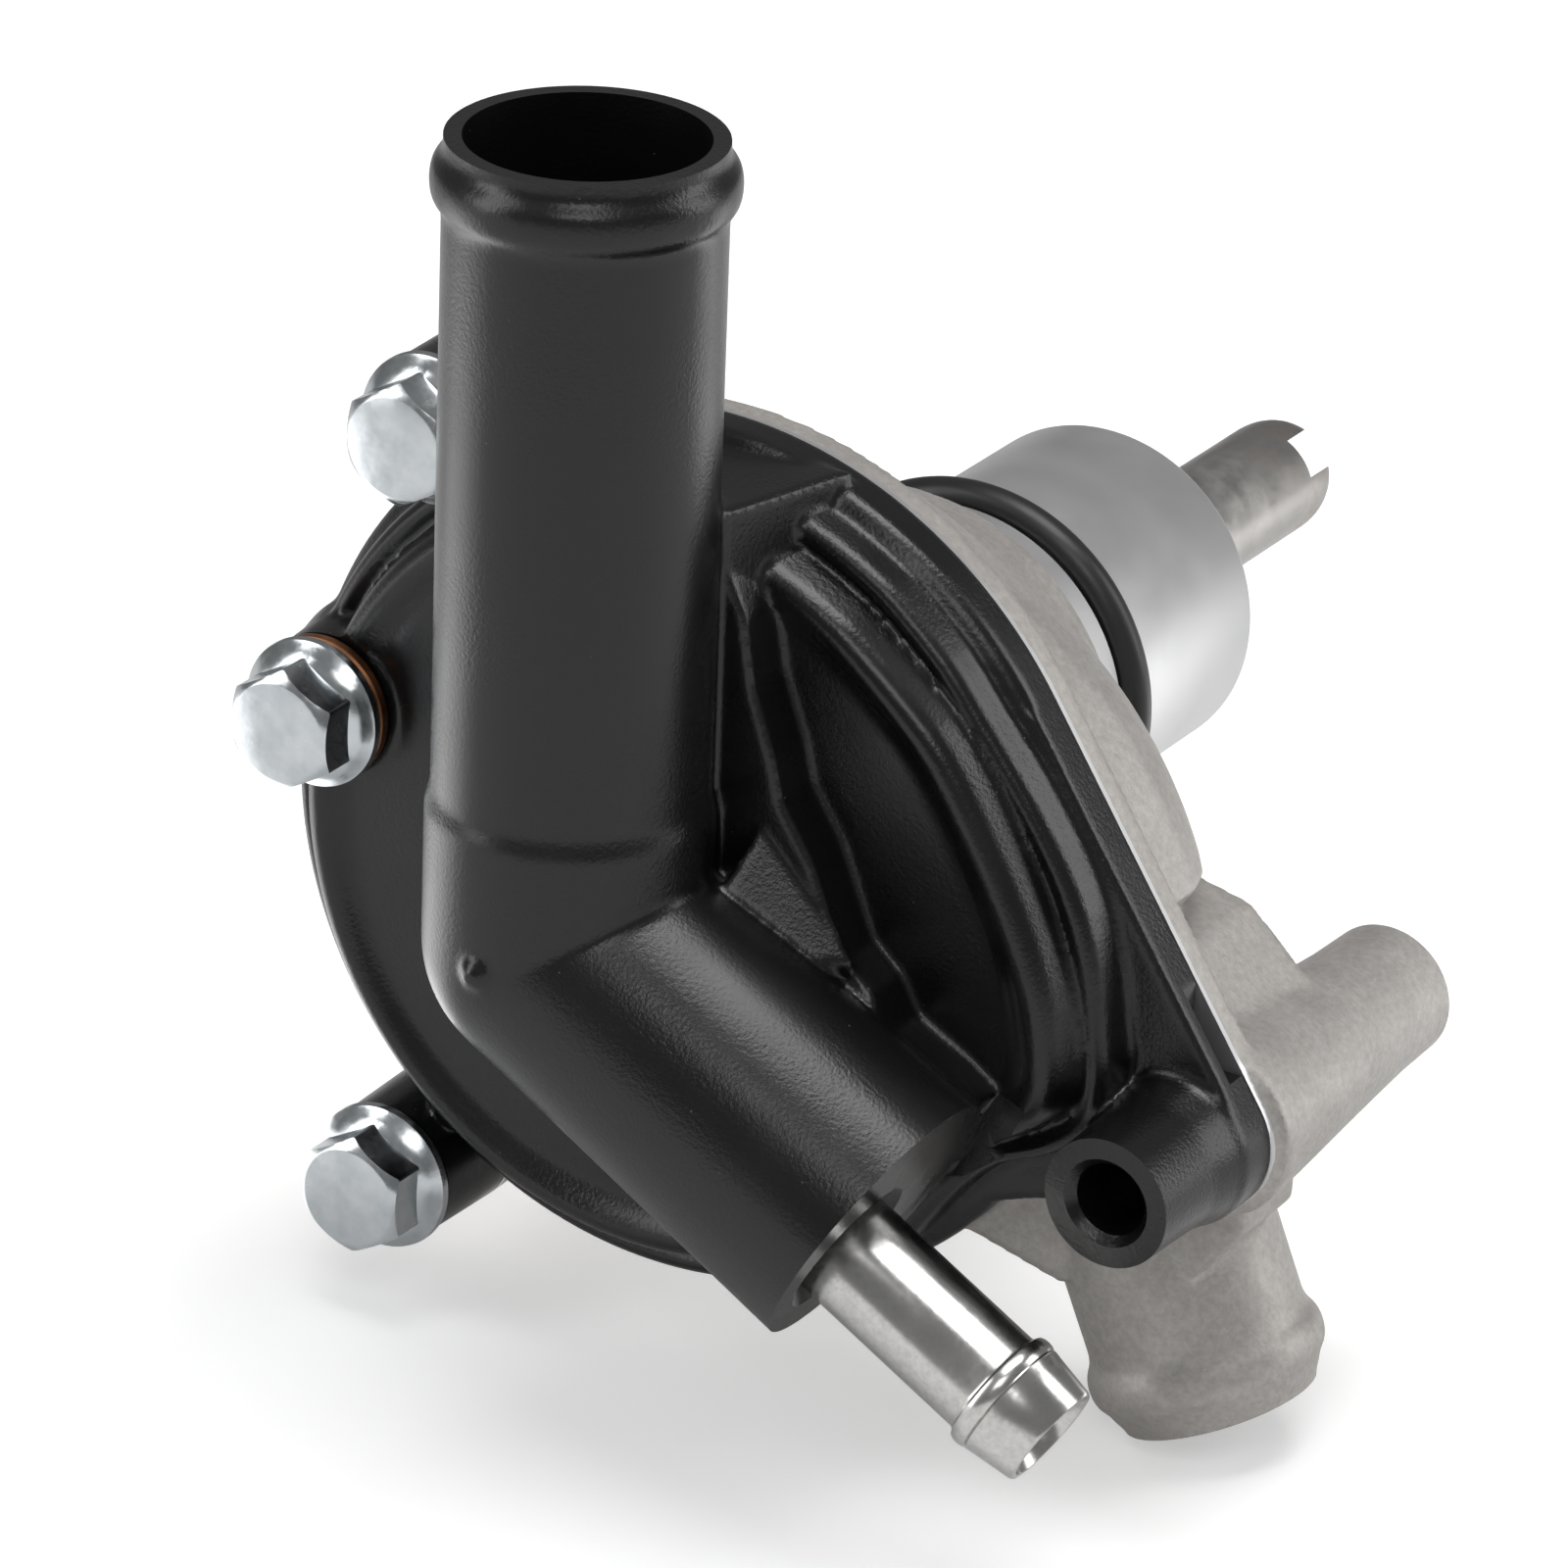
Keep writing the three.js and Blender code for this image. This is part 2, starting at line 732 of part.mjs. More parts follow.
add("shaft", makeShaft(), looks.dullSteel());

// ---------------------------------------------------------------- impeller and nut
const impellerRadius = 27;
const impellerBack = -31.2;
const vaneTip = impellerRoom + 1.2;
function vane(turn) {
  const thick = 1.8;
  const shape = new THREE.Shape();
  shape.moveTo(9, -thick / 2);
  shape.quadraticCurveTo(18, -thick, impellerRadius - 1, -8 - thick);
  shape.lineTo(impellerRadius - 1.6, -8 + thick);
  shape.quadraticCurveTo(17, thick, 9, thick / 2);
  shape.closePath();
  const blade = plate(shape, vaneTip, impellerBack - 1.2, 3);
  return blade.rotateY(turn);
}

function makeImpeller() {
  const bladeCount = 6;
  const blades = [];
  for (let i = 0; i < bladeCount; i += 1) {
    blades.push(vane((i * 2 * Math.PI) / bladeCount));
  }
  const back = turned([
    [0, hubFront],
    [7.2, hubFront],
    [8.4, hubFront + 1.2],
    [11, impellerBack - 2],
    [impellerRadius, impellerBack - 1.8],
    [impellerRadius, impellerBack],
    [11.4, impellerBack],
    [11.4, impellerBack + 1.8],
    [10.5, impellerBack + 1.8],
    [10.5, impellerBack],
    [0, impellerBack],
  ], 32);
  const bore = disc(impellerSeatRadius + seatGap, hubFront - 1, impellerBack + 3, 16);
  return geometryOf(cut(join([back, ...blades]), [bore]));
}
add("impeller", makeImpeller(), looks.dullSteel());

function makeNut() {
  const corner = boltAcrossFlats / 2 / Math.cos(Math.PI / 6);
  const body = solid(disc(corner, nutFront, hubFront - seatGap, 6));
  return geometryOf(body.subtract(solid(disc(threadRadius + seatGap, nutFront - 1, hubFront + 1, 20))));
}
add("impeller_nut", makeNut(), looks.zinc());

// ---------------------------------------------------------------- mechanical seal
const seatBack = -27.6; // running face of the ceramic seat
const cupBore = journalRadius + 1.2;
const seatCup = [
  [cupBore, -30.9], [10.2, -30.9], [10.2, seatBack - 0.5], [9, seatBack - 0.5], [9, -29.6], [cupBore, -29.6],
  [cupBore, -30.9],
];
add("seal_seat_cup", turned(seatCup, 20), looks.rubber());
add("seal_seat", ring(journalRadius + runningGap, 8.7, -29.3, seatBack, 20), looks.ceramic());
const carbonBack = seatBack + 3.2;
const carbonRing = ring(journalRadius + 0.9, 8.2, seatBack + runningGap, carbonBack, 20);
add("seal_carbon_ring", carbonRing, looks.carbon());
const caseBack = sealFloor - seatGap;
const bellows = [
  [cupBore, carbonBack + seatGap], [8.6, carbonBack + seatGap], [9.4, carbonBack + 1.4],
  [8.2, carbonBack + 2.8], [9.4, carbonBack + 4.2], [9.4, caseBack - 1.6],
  [cupBore, caseBack - 1.6], [cupBore, carbonBack + seatGap],
];
add("seal_bellows", turned(bellows, 20), looks.rubber());
const caseBore = journalRadius + 1;
const casing = [
  [caseBore, caseBack - 1], [12.4, caseBack - 1], [12.4, -26.2], [13.7, -26.2],
  [13.7, caseBack], [caseBore, caseBack], [caseBore, caseBack - 1],
];
add("seal_case", turned(casing, 24), looks.brass());

class Helix extends THREE.Curve {
  constructor(radius, start, length, turns) {
    super();
    Object.assign(this, { radius, start, length, turns });
  }
  getPoint(share, target = new THREE.Vector3()) {
    const turn = share * this.turns * 2 * Math.PI;
    return target.set(
      this.radius * Math.cos(turn),
      this.start + this.length * share,
      this.radius * Math.sin(turn),
    );
  }
}

function makeSpring() {
  const wireRadius = 0.55;
  const section = new THREE.Shape().absarc(0, 0, wireRadius, 0, 2 * Math.PI);
  const path = new Helix(10.9, carbonBack + 0.6, caseBack - carbonBack - 2.6, 3);
  return new THREE.ExtrudeGeometry(section, { steps: 36, extrudePath: path, curveSegments: 2 });
}
add("seal_spring", makeSpring(), looks.zinc());

// ---------------------------------------------------------------- bush and oil seal
add("shaft_bush", ring(journalRadius + seatGap, 7.5, -10, 2, 20), looks.brass());
const lip = [
  [journalRadius + runningGap, 9.6], [6, 8], [10.6, 8], [10.6, 14.4], [9.6, 14.4], [9.6, 9.2], [6.6, 9.2],
  [6, 10.2], [journalRadius + runningGap, 9.6],
];
add("oil_seal", turned(lip, 20), looks.rubber());

// ---------------------------------------------------------------- ball bearing
const bearingMiddle = bearingY + bearingWidth / 2;
const grooveSweep = 0.9; // half angle of the race's groove, in radians

// An arc of a race's groove, from the low side to the high side; side is 1 in the outer race.
function raceArc(side) {
  const points = [];
  const steps = 4;
  for (let i = 0; i <= steps; i += 1) {
    const turn = grooveSweep * ((2 * i) / steps - 1);
    const reach = ballRadius + raceGap;
    points.push([ballPitch + side * reach * Math.cos(turn), bearingMiddle + reach * Math.sin(turn)]);
  }
  return points;
}

function makeOuterRace() {
  const high = bearingY + bearingWidth;
  const inside = ballPitch + (ballRadius + raceGap) * Math.cos(grooveSweep);
  const groove = raceArc(1).reverse();
  const outline = [
    [inside, bearingY], [bearingOuter - 0.1, bearingY], [bearingOuter - 0.1, high], [inside, high],
    ...groove, [inside, bearingY],
  ];
  return turned(outline, 24);
}

function makeInnerRace() {
  const high = bearingY + bearingWidth;
  const bore = journalRadius + seatGap;
  const outside = ballPitch - (ballRadius + raceGap) * Math.cos(grooveSweep);
  const outline = [
    [bore, bearingY], [outside, bearingY], ...raceArc(-1), [outside, high], [bore, high], [bore, bearingY],
  ];
  return turned(outline, 24);
}
add("bearing_outer_race", makeOuterRace(), looks.polished());
add("bearing_inner_race", makeInnerRace(), looks.polished());

function ball(i) {
  const turn = (i * 2 * Math.PI) / ballCount;
  const x = ballPitch * Math.cos(turn);
  const z = ballPitch * Math.sin(turn);
  return new THREE.SphereGeometry(ballRadius, 10, 7).translate(x, bearingMiddle, z);
}

// The hole for one ball, cut straight out through the cage.
function pocket(i) {
  const turn = (i * 2 * Math.PI) / ballCount;
  const way = point(Math.cos(turn), 0, Math.sin(turn));
  return along(disc(ballRadius + 0.2, 4, 14, 12), point(0, bearingMiddle, 0), way);
}

function makeCage() {
  const half = 3.2;
  const band = ring(ballPitch - 0.8, ballPitch + 0.8, bearingMiddle - half, bearingMiddle + half, 28);
  const pockets = [];
  for (let i = 0; i < ballCount; i += 1) {
    pockets.push(pocket(i));
  }
  return geometryOf(cut(solid(band), pockets));
}
add("bearing_cage", makeCage(), looks.brass());
for (let i = 0; i < ballCount; i += 1) {
  add(`bearing_ball_${i + 1}`, ball(i), looks.polished());
}

function makeCirclip() {
  const start = circlipY + seatGap;
  const clip = solid(ring(bearingBore - 1.6, bearingBore + 0.6, start, start + 1, 32));
  const opening = new THREE.BoxGeometry(5, 4, 6).translate(0, start, -bearingBore);
  return geometryOf(clip.subtract(solid(opening)));
}
add("bearing_circlip", makeCirclip(), looks.dullSteel());

export default group;
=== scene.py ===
import math
import bpy
from mathutils import Matrix, Vector


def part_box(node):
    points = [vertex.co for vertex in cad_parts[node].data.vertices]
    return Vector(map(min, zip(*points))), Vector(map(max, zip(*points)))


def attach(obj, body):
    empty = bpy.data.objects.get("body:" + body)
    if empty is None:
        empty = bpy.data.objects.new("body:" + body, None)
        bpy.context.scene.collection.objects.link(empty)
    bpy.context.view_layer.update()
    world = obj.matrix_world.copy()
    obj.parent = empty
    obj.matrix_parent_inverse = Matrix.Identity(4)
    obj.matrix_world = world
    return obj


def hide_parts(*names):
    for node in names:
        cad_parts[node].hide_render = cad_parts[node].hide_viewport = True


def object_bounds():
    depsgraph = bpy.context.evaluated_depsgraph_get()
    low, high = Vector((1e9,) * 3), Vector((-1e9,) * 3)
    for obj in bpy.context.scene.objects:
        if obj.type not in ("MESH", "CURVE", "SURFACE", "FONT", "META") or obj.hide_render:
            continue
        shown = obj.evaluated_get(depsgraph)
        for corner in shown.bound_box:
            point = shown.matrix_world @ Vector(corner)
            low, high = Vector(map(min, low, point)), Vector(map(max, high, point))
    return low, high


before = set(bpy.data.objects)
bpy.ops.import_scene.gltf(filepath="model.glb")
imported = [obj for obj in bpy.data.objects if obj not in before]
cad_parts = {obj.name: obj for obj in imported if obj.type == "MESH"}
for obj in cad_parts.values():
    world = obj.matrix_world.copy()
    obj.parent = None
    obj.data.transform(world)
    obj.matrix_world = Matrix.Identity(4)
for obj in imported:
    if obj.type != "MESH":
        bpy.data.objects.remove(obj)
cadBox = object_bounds()
mm = 0.001
print("frame loaded")


def pick(obj):
    # makes one object the only selected and active one
    if bpy.context.object and bpy.context.object.mode != "OBJECT":
        bpy.ops.object.mode_set(mode="OBJECT")
    bpy.ops.object.select_all(action="DESELECT")
    obj.select_set(True)
    bpy.context.view_layer.objects.active = obj


def startEdit(obj, what="FACE"):
    pick(obj)
    bpy.ops.object.mode_set(mode="EDIT")
    bpy.ops.mesh.select_mode(type=what)


def endEdit():
    bpy.ops.object.mode_set(mode="OBJECT")


def settle(obj):
    # puts the place and turn of the object into its mesh
    pick(obj)
    bpy.ops.object.transform_apply(location=True, rotation=True, scale=True)


def closeUp(obj):
    startEdit(obj)
    bpy.ops.mesh.select_all(action="SELECT")
    bpy.ops.mesh.remove_doubles(threshold=0.000002)
    bpy.ops.mesh.normals_make_consistent(inside=False)
    endEdit()


def layAlong(obj, origin, direction):
    # a piece modelled up the Z axis is laid on the line through origin
    obj.rotation_mode = "QUATERNION"
    obj.rotation_quaternion = Vector((0, 0, 1)).rotation_difference(Vector(direction).normalized())
    obj.location = Vector(origin) * mm
    settle(obj)
    return obj


def turned(name, profile, sides=96, origin=(0, 0, 0), direction=(0, 1, 0)):
    # a turned piece: a circle is drawn out and scaled along the profile of (radius, distance) in mm
    hollow = profile[0] == profile[-1]
    radius, height = profile[0]
    bpy.ops.object.select_all(action="DESELECT")
    bpy.ops.mesh.primitive_circle_add(
        vertices=sides, radius=radius * mm, location=(0, 0, height * mm),
        fill_type="NOTHING" if hollow else "NGON")
    obj = bpy.context.object
    obj.name = name
    startEdit(obj, "EDGE" if hollow else "FACE")
    bpy.ops.mesh.select_all(action="SELECT")
    for nextRadius, nextHeight in profile[1:]:
        bpy.ops.mesh.extrude_region_move(
            TRANSFORM_OT_translate={"value": (0, 0, (nextHeight - height) * mm)})
        grow = nextRadius / radius
        bpy.ops.transform.resize(value=(grow, grow, 1), center_override=(0, 0, nextHeight * mm))
        radius, height = nextRadius, nextHeight
    endEdit()
    closeUp(obj)
    settle(obj)
    return layAlong(obj, origin, direction)


def beadArc(radius, height, bulge, half, steps=4):
    # the round back of a pipe's bead, as (radius, distance) for a turned profile
    return [(radius + bulge * math.cos(i * math.pi / (2 * steps + 2)),
             height + half * math.sin(i * math.pi / (2 * steps))) for i in range(-steps, steps + 1)]


def outlinePlate(name, outline, front, back):
    # a plate of any outline in the XZ plane, in mm, drawn out from the back to the front
    bpy.ops.object.select_all(action="DESELECT")
    bpy.ops.mesh.primitive_circle_add(vertices=len(outline), radius=0.01, fill_type="NGON")
    obj = bpy.context.object
    obj.name = name
    for vertex, (x, z) in zip(obj.data.vertices, outline):
        vertex.co = (x * mm, back * mm, z * mm)
    startEdit(obj)
    bpy.ops.mesh.select_all(action="SELECT")
    bpy.ops.mesh.extrude_region_move(TRANSFORM_OT_translate={"value": (0, (front - back) * mm, 0)})
    endEdit()
    closeUp(obj)
    return obj


def block(name, low, high, turn=0.0):
    # a box between two corners in mm, turned about Y by some degrees
    bpy.ops.object.select_all(action="DESELECT")
    middle = [(a + b) / 2 * mm for a, b in zip(low, high)]
    bpy.ops.mesh.primitive_cube_add(size=1, location=middle)
    obj = bpy.context.object
    obj.name = name
    obj.scale = [(b - a) * mm for a, b in zip(low, high)]
    obj.rotation_euler = (0, math.radians(turn), 0)
    settle(obj)
    return obj


def ball(name, centre, radius, rings=32):
    bpy.ops.object.select_all(action="DESELECT")
    bpy.ops.mesh.primitive_uv_sphere_add(
        segments=2 * rings, ring_count=rings, radius=radius * mm, location=Vector(centre) * mm)
    obj = bpy.context.object
    obj.name = name
    settle(obj)
    return obj


def addModifier(obj, kind, **settings):
    pick(obj)
    modifier = obj.modifiers.new(kind.title(), kind)
    for key, value in settings.items():
        setattr(modifier, key, value)
    bpy.ops.object.modifier_apply(modifier=modifier.name)


def gather(name, parts):
    # joins pieces into one object
    pick(parts[0])
    for part in parts[1:]:
        part.select_set(True)
    bpy.ops.object.join()
    obj = bpy.context.object
    obj.name = name
    return obj


def cast(name, parts, voxel, rounds, share=1.0):
    # pieces run together as one casting: their corners are filled and their edges soften
    obj = gather(name, parts)
    addModifier(obj, "REMESH", mode="VOXEL", voxel_size=voxel * mm)
    addModifier(obj, "SMOOTH", factor=0.5, iterations=rounds)
    if share < 1.0:
        addModifier(obj, "DECIMATE", ratio=share)
    return obj


def cutAway(obj, tool):
    addModifier(obj, "BOOLEAN", operation="DIFFERENCE", solver="EXACT", object=tool)
    bpy.data.objects.remove(tool)


def smoothShade(obj, angle=35):
    pick(obj)
    bpy.ops.object.shade_smooth_by_angle(angle=math.radians(angle))


def polar(radius, degrees):
    turn = math.radians(degrees)
    return (radius * math.cos(turn), radius * math.sin(turn))


def wear(obj, *materials):
    obj.data.materials.clear()
    for material in materials:
        obj.data.materials.append(material)


def count(obj):
    obj.data.calc_loop_triangles()
    return len(obj.data.loop_triangles)


def finishPiece(piece, body, node, angle=35):
    smoothShade(piece, angle)
    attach(piece, body)
    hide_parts(node)


def newGroup(name, inputs, outputs):
    group = bpy.data.node_groups.new(name, "ShaderNodeTree")
    for label, value in inputs.items():
        socket = group.interface.new_socket(name=label, in_out="INPUT", socket_type="NodeSocketFloat")
        socket.default_value = value
    for label, kind in outputs.items():
        group.interface.new_socket(name=label, in_out="OUTPUT", socket_type=kind)
    return group


def mathNode(tree, operation, first, second=None, third=None):
    node = tree.nodes.new("ShaderNodeMath")
    node.operation = operation
    for i, value in enumerate((first, second, third)):
        if value is None:
            continue
        if isinstance(value, (int, float)):
            node.inputs[i].default_value = value
        else:
            tree.links.new(value, node.inputs[i])
    return node.outputs[0]


def rangeNode(tree, value, low, high, newLow, newHigh):
    node = tree.nodes.new("ShaderNodeMapRange")
    tree.links.new(value, node.inputs["Value"])
    for label, number in (("From Min", low), ("From Max", high), ("To Min", newLow), ("To Max", newHigh)):
        if isinstance(number, (int, float)):
            node.inputs[label].default_value = number
        else:
            tree.links.new(number, node.inputs[label])
    return node.outputs["Result"]


def noiseNode(tree, vector, scale, detail=2.0, roughness=0.5):
    node = tree.nodes.new("ShaderNodeTexNoise")
    node.inputs["Scale"].default_value = scale
    node.inputs["Detail"].default_value = detail
    node.inputs["Roughness"].default_value = roughness
    tree.links.new(vector, node.inputs["Vector"])
    return node


def buildGrain():
    # skin of a casting: fine grain with slow patches, strongest where the patch mask is high
    group = newGroup("castingSkin", {"Grain Size": 0.0005, "Patch Size": 0.01, "Calm": 0.35},
                     {"Height": "NodeSocketFloat", "Patches": "NodeSocketFloat"})
    start = group.nodes.new("NodeGroupInput")
    end = group.nodes.new("NodeGroupOutput")
    place = group.nodes.new("ShaderNodeTexCoord")
    fine = noiseNode(group, place.outputs["Object"], 1.0, 3.0, 0.55)
    group.links.new(mathNode(group, "DIVIDE", 1.0, start.outputs["Grain Size"]), fine.inputs["Scale"])
    patches = noiseNode(group, place.outputs["Object"], 1.0, 2.0, 0.5)
    group.links.new(mathNode(group, "DIVIDE", 1.0, start.outputs["Patch Size"]), patches.inputs["Scale"])
    mask = rangeNode(group, patches.outputs["Fac"], 0.35, 0.65, start.outputs["Calm"], 1.0)
    height = mathNode(group, "MULTIPLY", fine.outputs["Fac"], mask)
    group.links.new(height, end.inputs["Height"])
    group.links.new(mask, end.inputs["Patches"])
    return group


def buildSpecks():
    # small scattered specks, 1 inside a speck
    group = newGroup("specks", {"Spacing": 0.003, "Size": 0.05},
                     {"Mask": "NodeSocketFloat"})
    start = group.nodes.new("NodeGroupInput")
    end = group.nodes.new("NodeGroupOutput")
    place = group.nodes.new("ShaderNodeTexCoord")
    cells = group.nodes.new("ShaderNodeTexVoronoi")
    group.links.new(place.outputs["Object"], cells.inputs["Vector"])
    group.links.new(mathNode(group, "DIVIDE", 1.0, start.outputs["Spacing"]), cells.inputs["Scale"])
    reach = mathNode(group, "DIVIDE", cells.outputs["Distance"], start.outputs["Size"])
    mask = rangeNode(group, reach, 0.6, 1.0, 1.0, 0.0)
    group.links.new(mask, end.inputs["Mask"])
    return group


def buildBrushing():
    # fine lines left by turning about the Y axis
    group = newGroup("turningLines", {"Pitch": 0.0002}, {"Height": "NodeSocketFloat"})
    start = group.nodes.new("NodeGroupInput")
    end = group.nodes.new("NodeGroupOutput")
    place = group.nodes.new("ShaderNodeTexCoord")
    stretch = group.nodes.new("ShaderNodeMapping")
    stretch.inputs["Scale"].default_value = (0.02, 1.0, 0.02)
    group.links.new(place.outputs["Object"], stretch.inputs["Vector"])
    lines = noiseNode(group, stretch.outputs["Vector"], 1.0, 3.0, 0.7)
    group.links.new(mathNode(group, "DIVIDE", 1.0, start.outputs["Pitch"]), lines.inputs["Scale"])
    group.links.new(lines.outputs["Fac"], end.inputs["Height"])
    return group


castingSkin = buildGrain()
specks = buildSpecks()
turningLines = buildBrushing()


def useGroup(tree, group, **values):
    node = tree.nodes.new("ShaderNodeGroup")
    node.node_tree = group
    for label, value in values.items():
        node.inputs[label.replace("_", " ")].default_value = value
    return node


def newMaterial(name, colour, roughness, metallic=0.0, **sockets):
    material = bpy.data.materials.new(name)
    material.use_nodes = True
    tree = material.node_tree
    shader = tree.nodes["Principled BSDF"]
    shader.inputs["Base Color"].default_value = (*colour, 1)
    shader.inputs["Roughness"].default_value = roughness
    shader.inputs["Metallic"].default_value = metallic
    for label, value in sockets.items():
        shader.inputs[label.replace("_", " ")].default_value = value
    return material, tree, shader


def mixColours(tree, factor, first, second):
    node = tree.nodes.new("ShaderNodeMix")
    node.data_type = "RGBA"
    for label, value in (("A", first), ("B", second)):
        socket = [s for s in node.inputs if s.name == label and s.type == "RGBA"][0]
        if isinstance(value, tuple):
            socket.default_value = (*value, 1)
        else:
            tree.links.new(value, socket)
    tree.links.new(factor, node.inputs["Factor"])
    return [s for s in node.outputs if s.type == "RGBA"][0]


def bumpFrom(tree, shader, height, strength, distance):
    bump = tree.nodes.new("ShaderNodeBump")
    bump.inputs["Strength"].default_value = strength
    bump.inputs["Distance"].default_value = distance
    tree.links.new(height, bump.inputs["Height"])
    tree.links.new(bump.outputs["Normal"], shader.inputs["Normal"])


def objectNoise(tree, scale, detail=2.0, roughness=0.5):
    place = tree.nodes.new("ShaderNodeTexCoord")
    return noiseNode(tree, place.outputs["Object"], scale, detail, roughness).outputs["Fac"]


def makeBlackPaint():
    material, tree, shader = newMaterial("blackPaint", (0.004, 0.004, 0.0045), 0.33)
    skin = useGroup(tree, castingSkin, Grain_Size=0.00037, Patch_Size=0.016, Calm=0.25)
    dust = useGroup(tree, specks, Spacing=0.0031, Size=0.036)
    slow = objectNoise(tree, 90, 2)
    roughness = rangeNode(tree, slow, 0.3, 0.7, 0.24, 0.31)
    tree.links.new(mathNode(tree, "ADD", roughness, mathNode(tree, "MULTIPLY", dust.outputs["Mask"], 0.3)),
                   shader.inputs["Roughness"])
    colour = mixColours(tree, dust.outputs["Mask"], (0.004, 0.004, 0.0045), (0.04, 0.038, 0.036))
    tree.links.new(colour, shader.inputs["Base Color"])
    raised = mathNode(tree, "MULTIPLY", dust.outputs["Mask"], 0.25)
    bumpFrom(tree, shader, mathNode(tree, "ADD", skin.outputs["Height"], raised), 0.45, 0.00014)
    return material


def makeCastAlloy():
    material, tree, shader = newMaterial("castAlloy", (0.4, 0.375, 0.35), 0.5, 0.6)
    skin = useGroup(tree, castingSkin, Grain_Size=0.00038, Patch_Size=0.006, Calm=0.5)
    blotches = objectNoise(tree, 1300, 5, 0.7)
    pale = rangeNode(tree, blotches, 0.35, 0.66, 0.0, 1.0)
    colour = mixColours(tree, pale, (0.38, 0.36, 0.34), (0.48, 0.46, 0.44))
    dots = useGroup(tree, specks, Spacing=0.0016, Size=0.07)
    bright = mathNode(tree, "MULTIPLY", dots.outputs["Mask"], 0.4)
    colour = mixColours(tree, bright, colour, (0.62, 0.6, 0.58))
    tree.links.new(colour, shader.inputs["Base Color"])
    tree.links.new(rangeNode(tree, skin.outputs["Patches"], 0.3, 1.0, 0.44, 0.6), shader.inputs["Roughness"])
    bumpFrom(tree, shader, skin.outputs["Height"], 0.45, 0.00012)
    return material


def makeTurnedAlloy():
    material, tree, shader = newMaterial("turnedAlloy", (0.6, 0.6, 0.605), 0.34, 0.8)
    lines = useGroup(tree, turningLines, Pitch=0.00025)
    slow = objectNoise(tree, 130, 2)
    tree.links.new(rangeNode(tree, slow, 0.3, 0.7, 0.34, 0.44), shader.inputs["Roughness"])
    bumpFrom(tree, shader, lines.outputs["Height"], 0.12, 0.00004)
    return material


def makeZinc(name, paintMark=False):
    material, tree, shader = newMaterial(name, (0.74, 0.79, 0.82), 0.16, 1.0)
    slow = objectNoise(tree, 420, 3, 0.6)
    cloud = rangeNode(tree, slow, 0.35, 0.65, 0.0, 1.0)
    tone = mixColours(tree, cloud, (0.54, 0.58, 0.6), (0.66, 0.69, 0.71))
    rough = rangeNode(tree, slow, 0.35, 0.7, 0.16, 0.28)
    metal = None
    if paintMark:
        # a smear of marking paint across the head
        place = tree.nodes.new("ShaderNodeTexCoord")
        moved = tree.nodes.new("ShaderNodeMapping")
        moved.inputs["Location"].default_value = markPlace["location"]
        moved.inputs["Rotation"].default_value = (0, math.radians(markPlace["turn"]), 0)
        tree.links.new(place.outputs["Object"], moved.inputs["Vector"])
        axes = tree.nodes.new("ShaderNodeSeparateXYZ")
        tree.links.new(moved.outputs["Vector"], axes.inputs["Vector"])
        ragged = noiseNode(tree, place.outputs["Object"], 900, 3, 0.6).outputs["Fac"]
        wander = mathNode(tree, "MULTIPLY", mathNode(tree, "SUBTRACT", ragged, 0.5), 0.0022)
        across = mathNode(tree, "ABSOLUTE", mathNode(tree, "ADD", axes.outputs["X"], wander))
        along = mathNode(tree, "ABSOLUTE", mathNode(tree, "ADD", axes.outputs["Z"], wander))
        inAcross = mathNode(tree, "LESS_THAN", across, markPlace["halfWidth"])
        inAlong = mathNode(tree, "LESS_THAN", along, markPlace["halfLength"])
        onTop = mathNode(tree, "LESS_THAN", axes.outputs["Y"], 0.0003)
        mask = mathNode(tree, "MULTIPLY", mathNode(tree, "MULTIPLY", inAcross, inAlong), onTop)
        tone = mixColours(tree, mask, tone, (0.015, 0.27, 0.23))
        rough = mathNode(tree, "ADD", rough, mathNode(tree, "MULTIPLY", mask, 0.25))
        metal = mathNode(tree, "SUBTRACT", 1.0, mask)
    tree.links.new(tone, shader.inputs["Base Color"])
    tree.links.new(rough, shader.inputs["Roughness"])
    if metal:
        tree.links.new(metal, shader.inputs["Metallic"])
    dents = objectNoise(tree, 700, 2, 0.5)
    bumpFrom(tree, shader, dents, 0.25, 0.00008)
    return material


def makeBrightSteel():
    material, tree, shader = newMaterial("brightSteel", (0.72, 0.71, 0.69), 0.14, 1.0)
    mottle = objectNoise(tree, 1500, 3, 0.65)
    patch = objectNoise(tree, 160, 2)
    both = mathNode(tree, "MULTIPLY", mottle, patch)
    tree.links.new(rangeNode(tree, both, 0.15, 0.36, 0.17, 0.27), shader.inputs["Roughness"])
    cloud = rangeNode(tree, mottle, 0.4, 0.65, 0.0, 1.0)
    tone = mixColours(tree, cloud, (0.64, 0.635, 0.62), (0.54, 0.535, 0.52))
    tree.links.new(tone, shader.inputs["Base Color"])
    bumpFrom(tree, shader, mottle, 0.12, 0.00005)
    return material


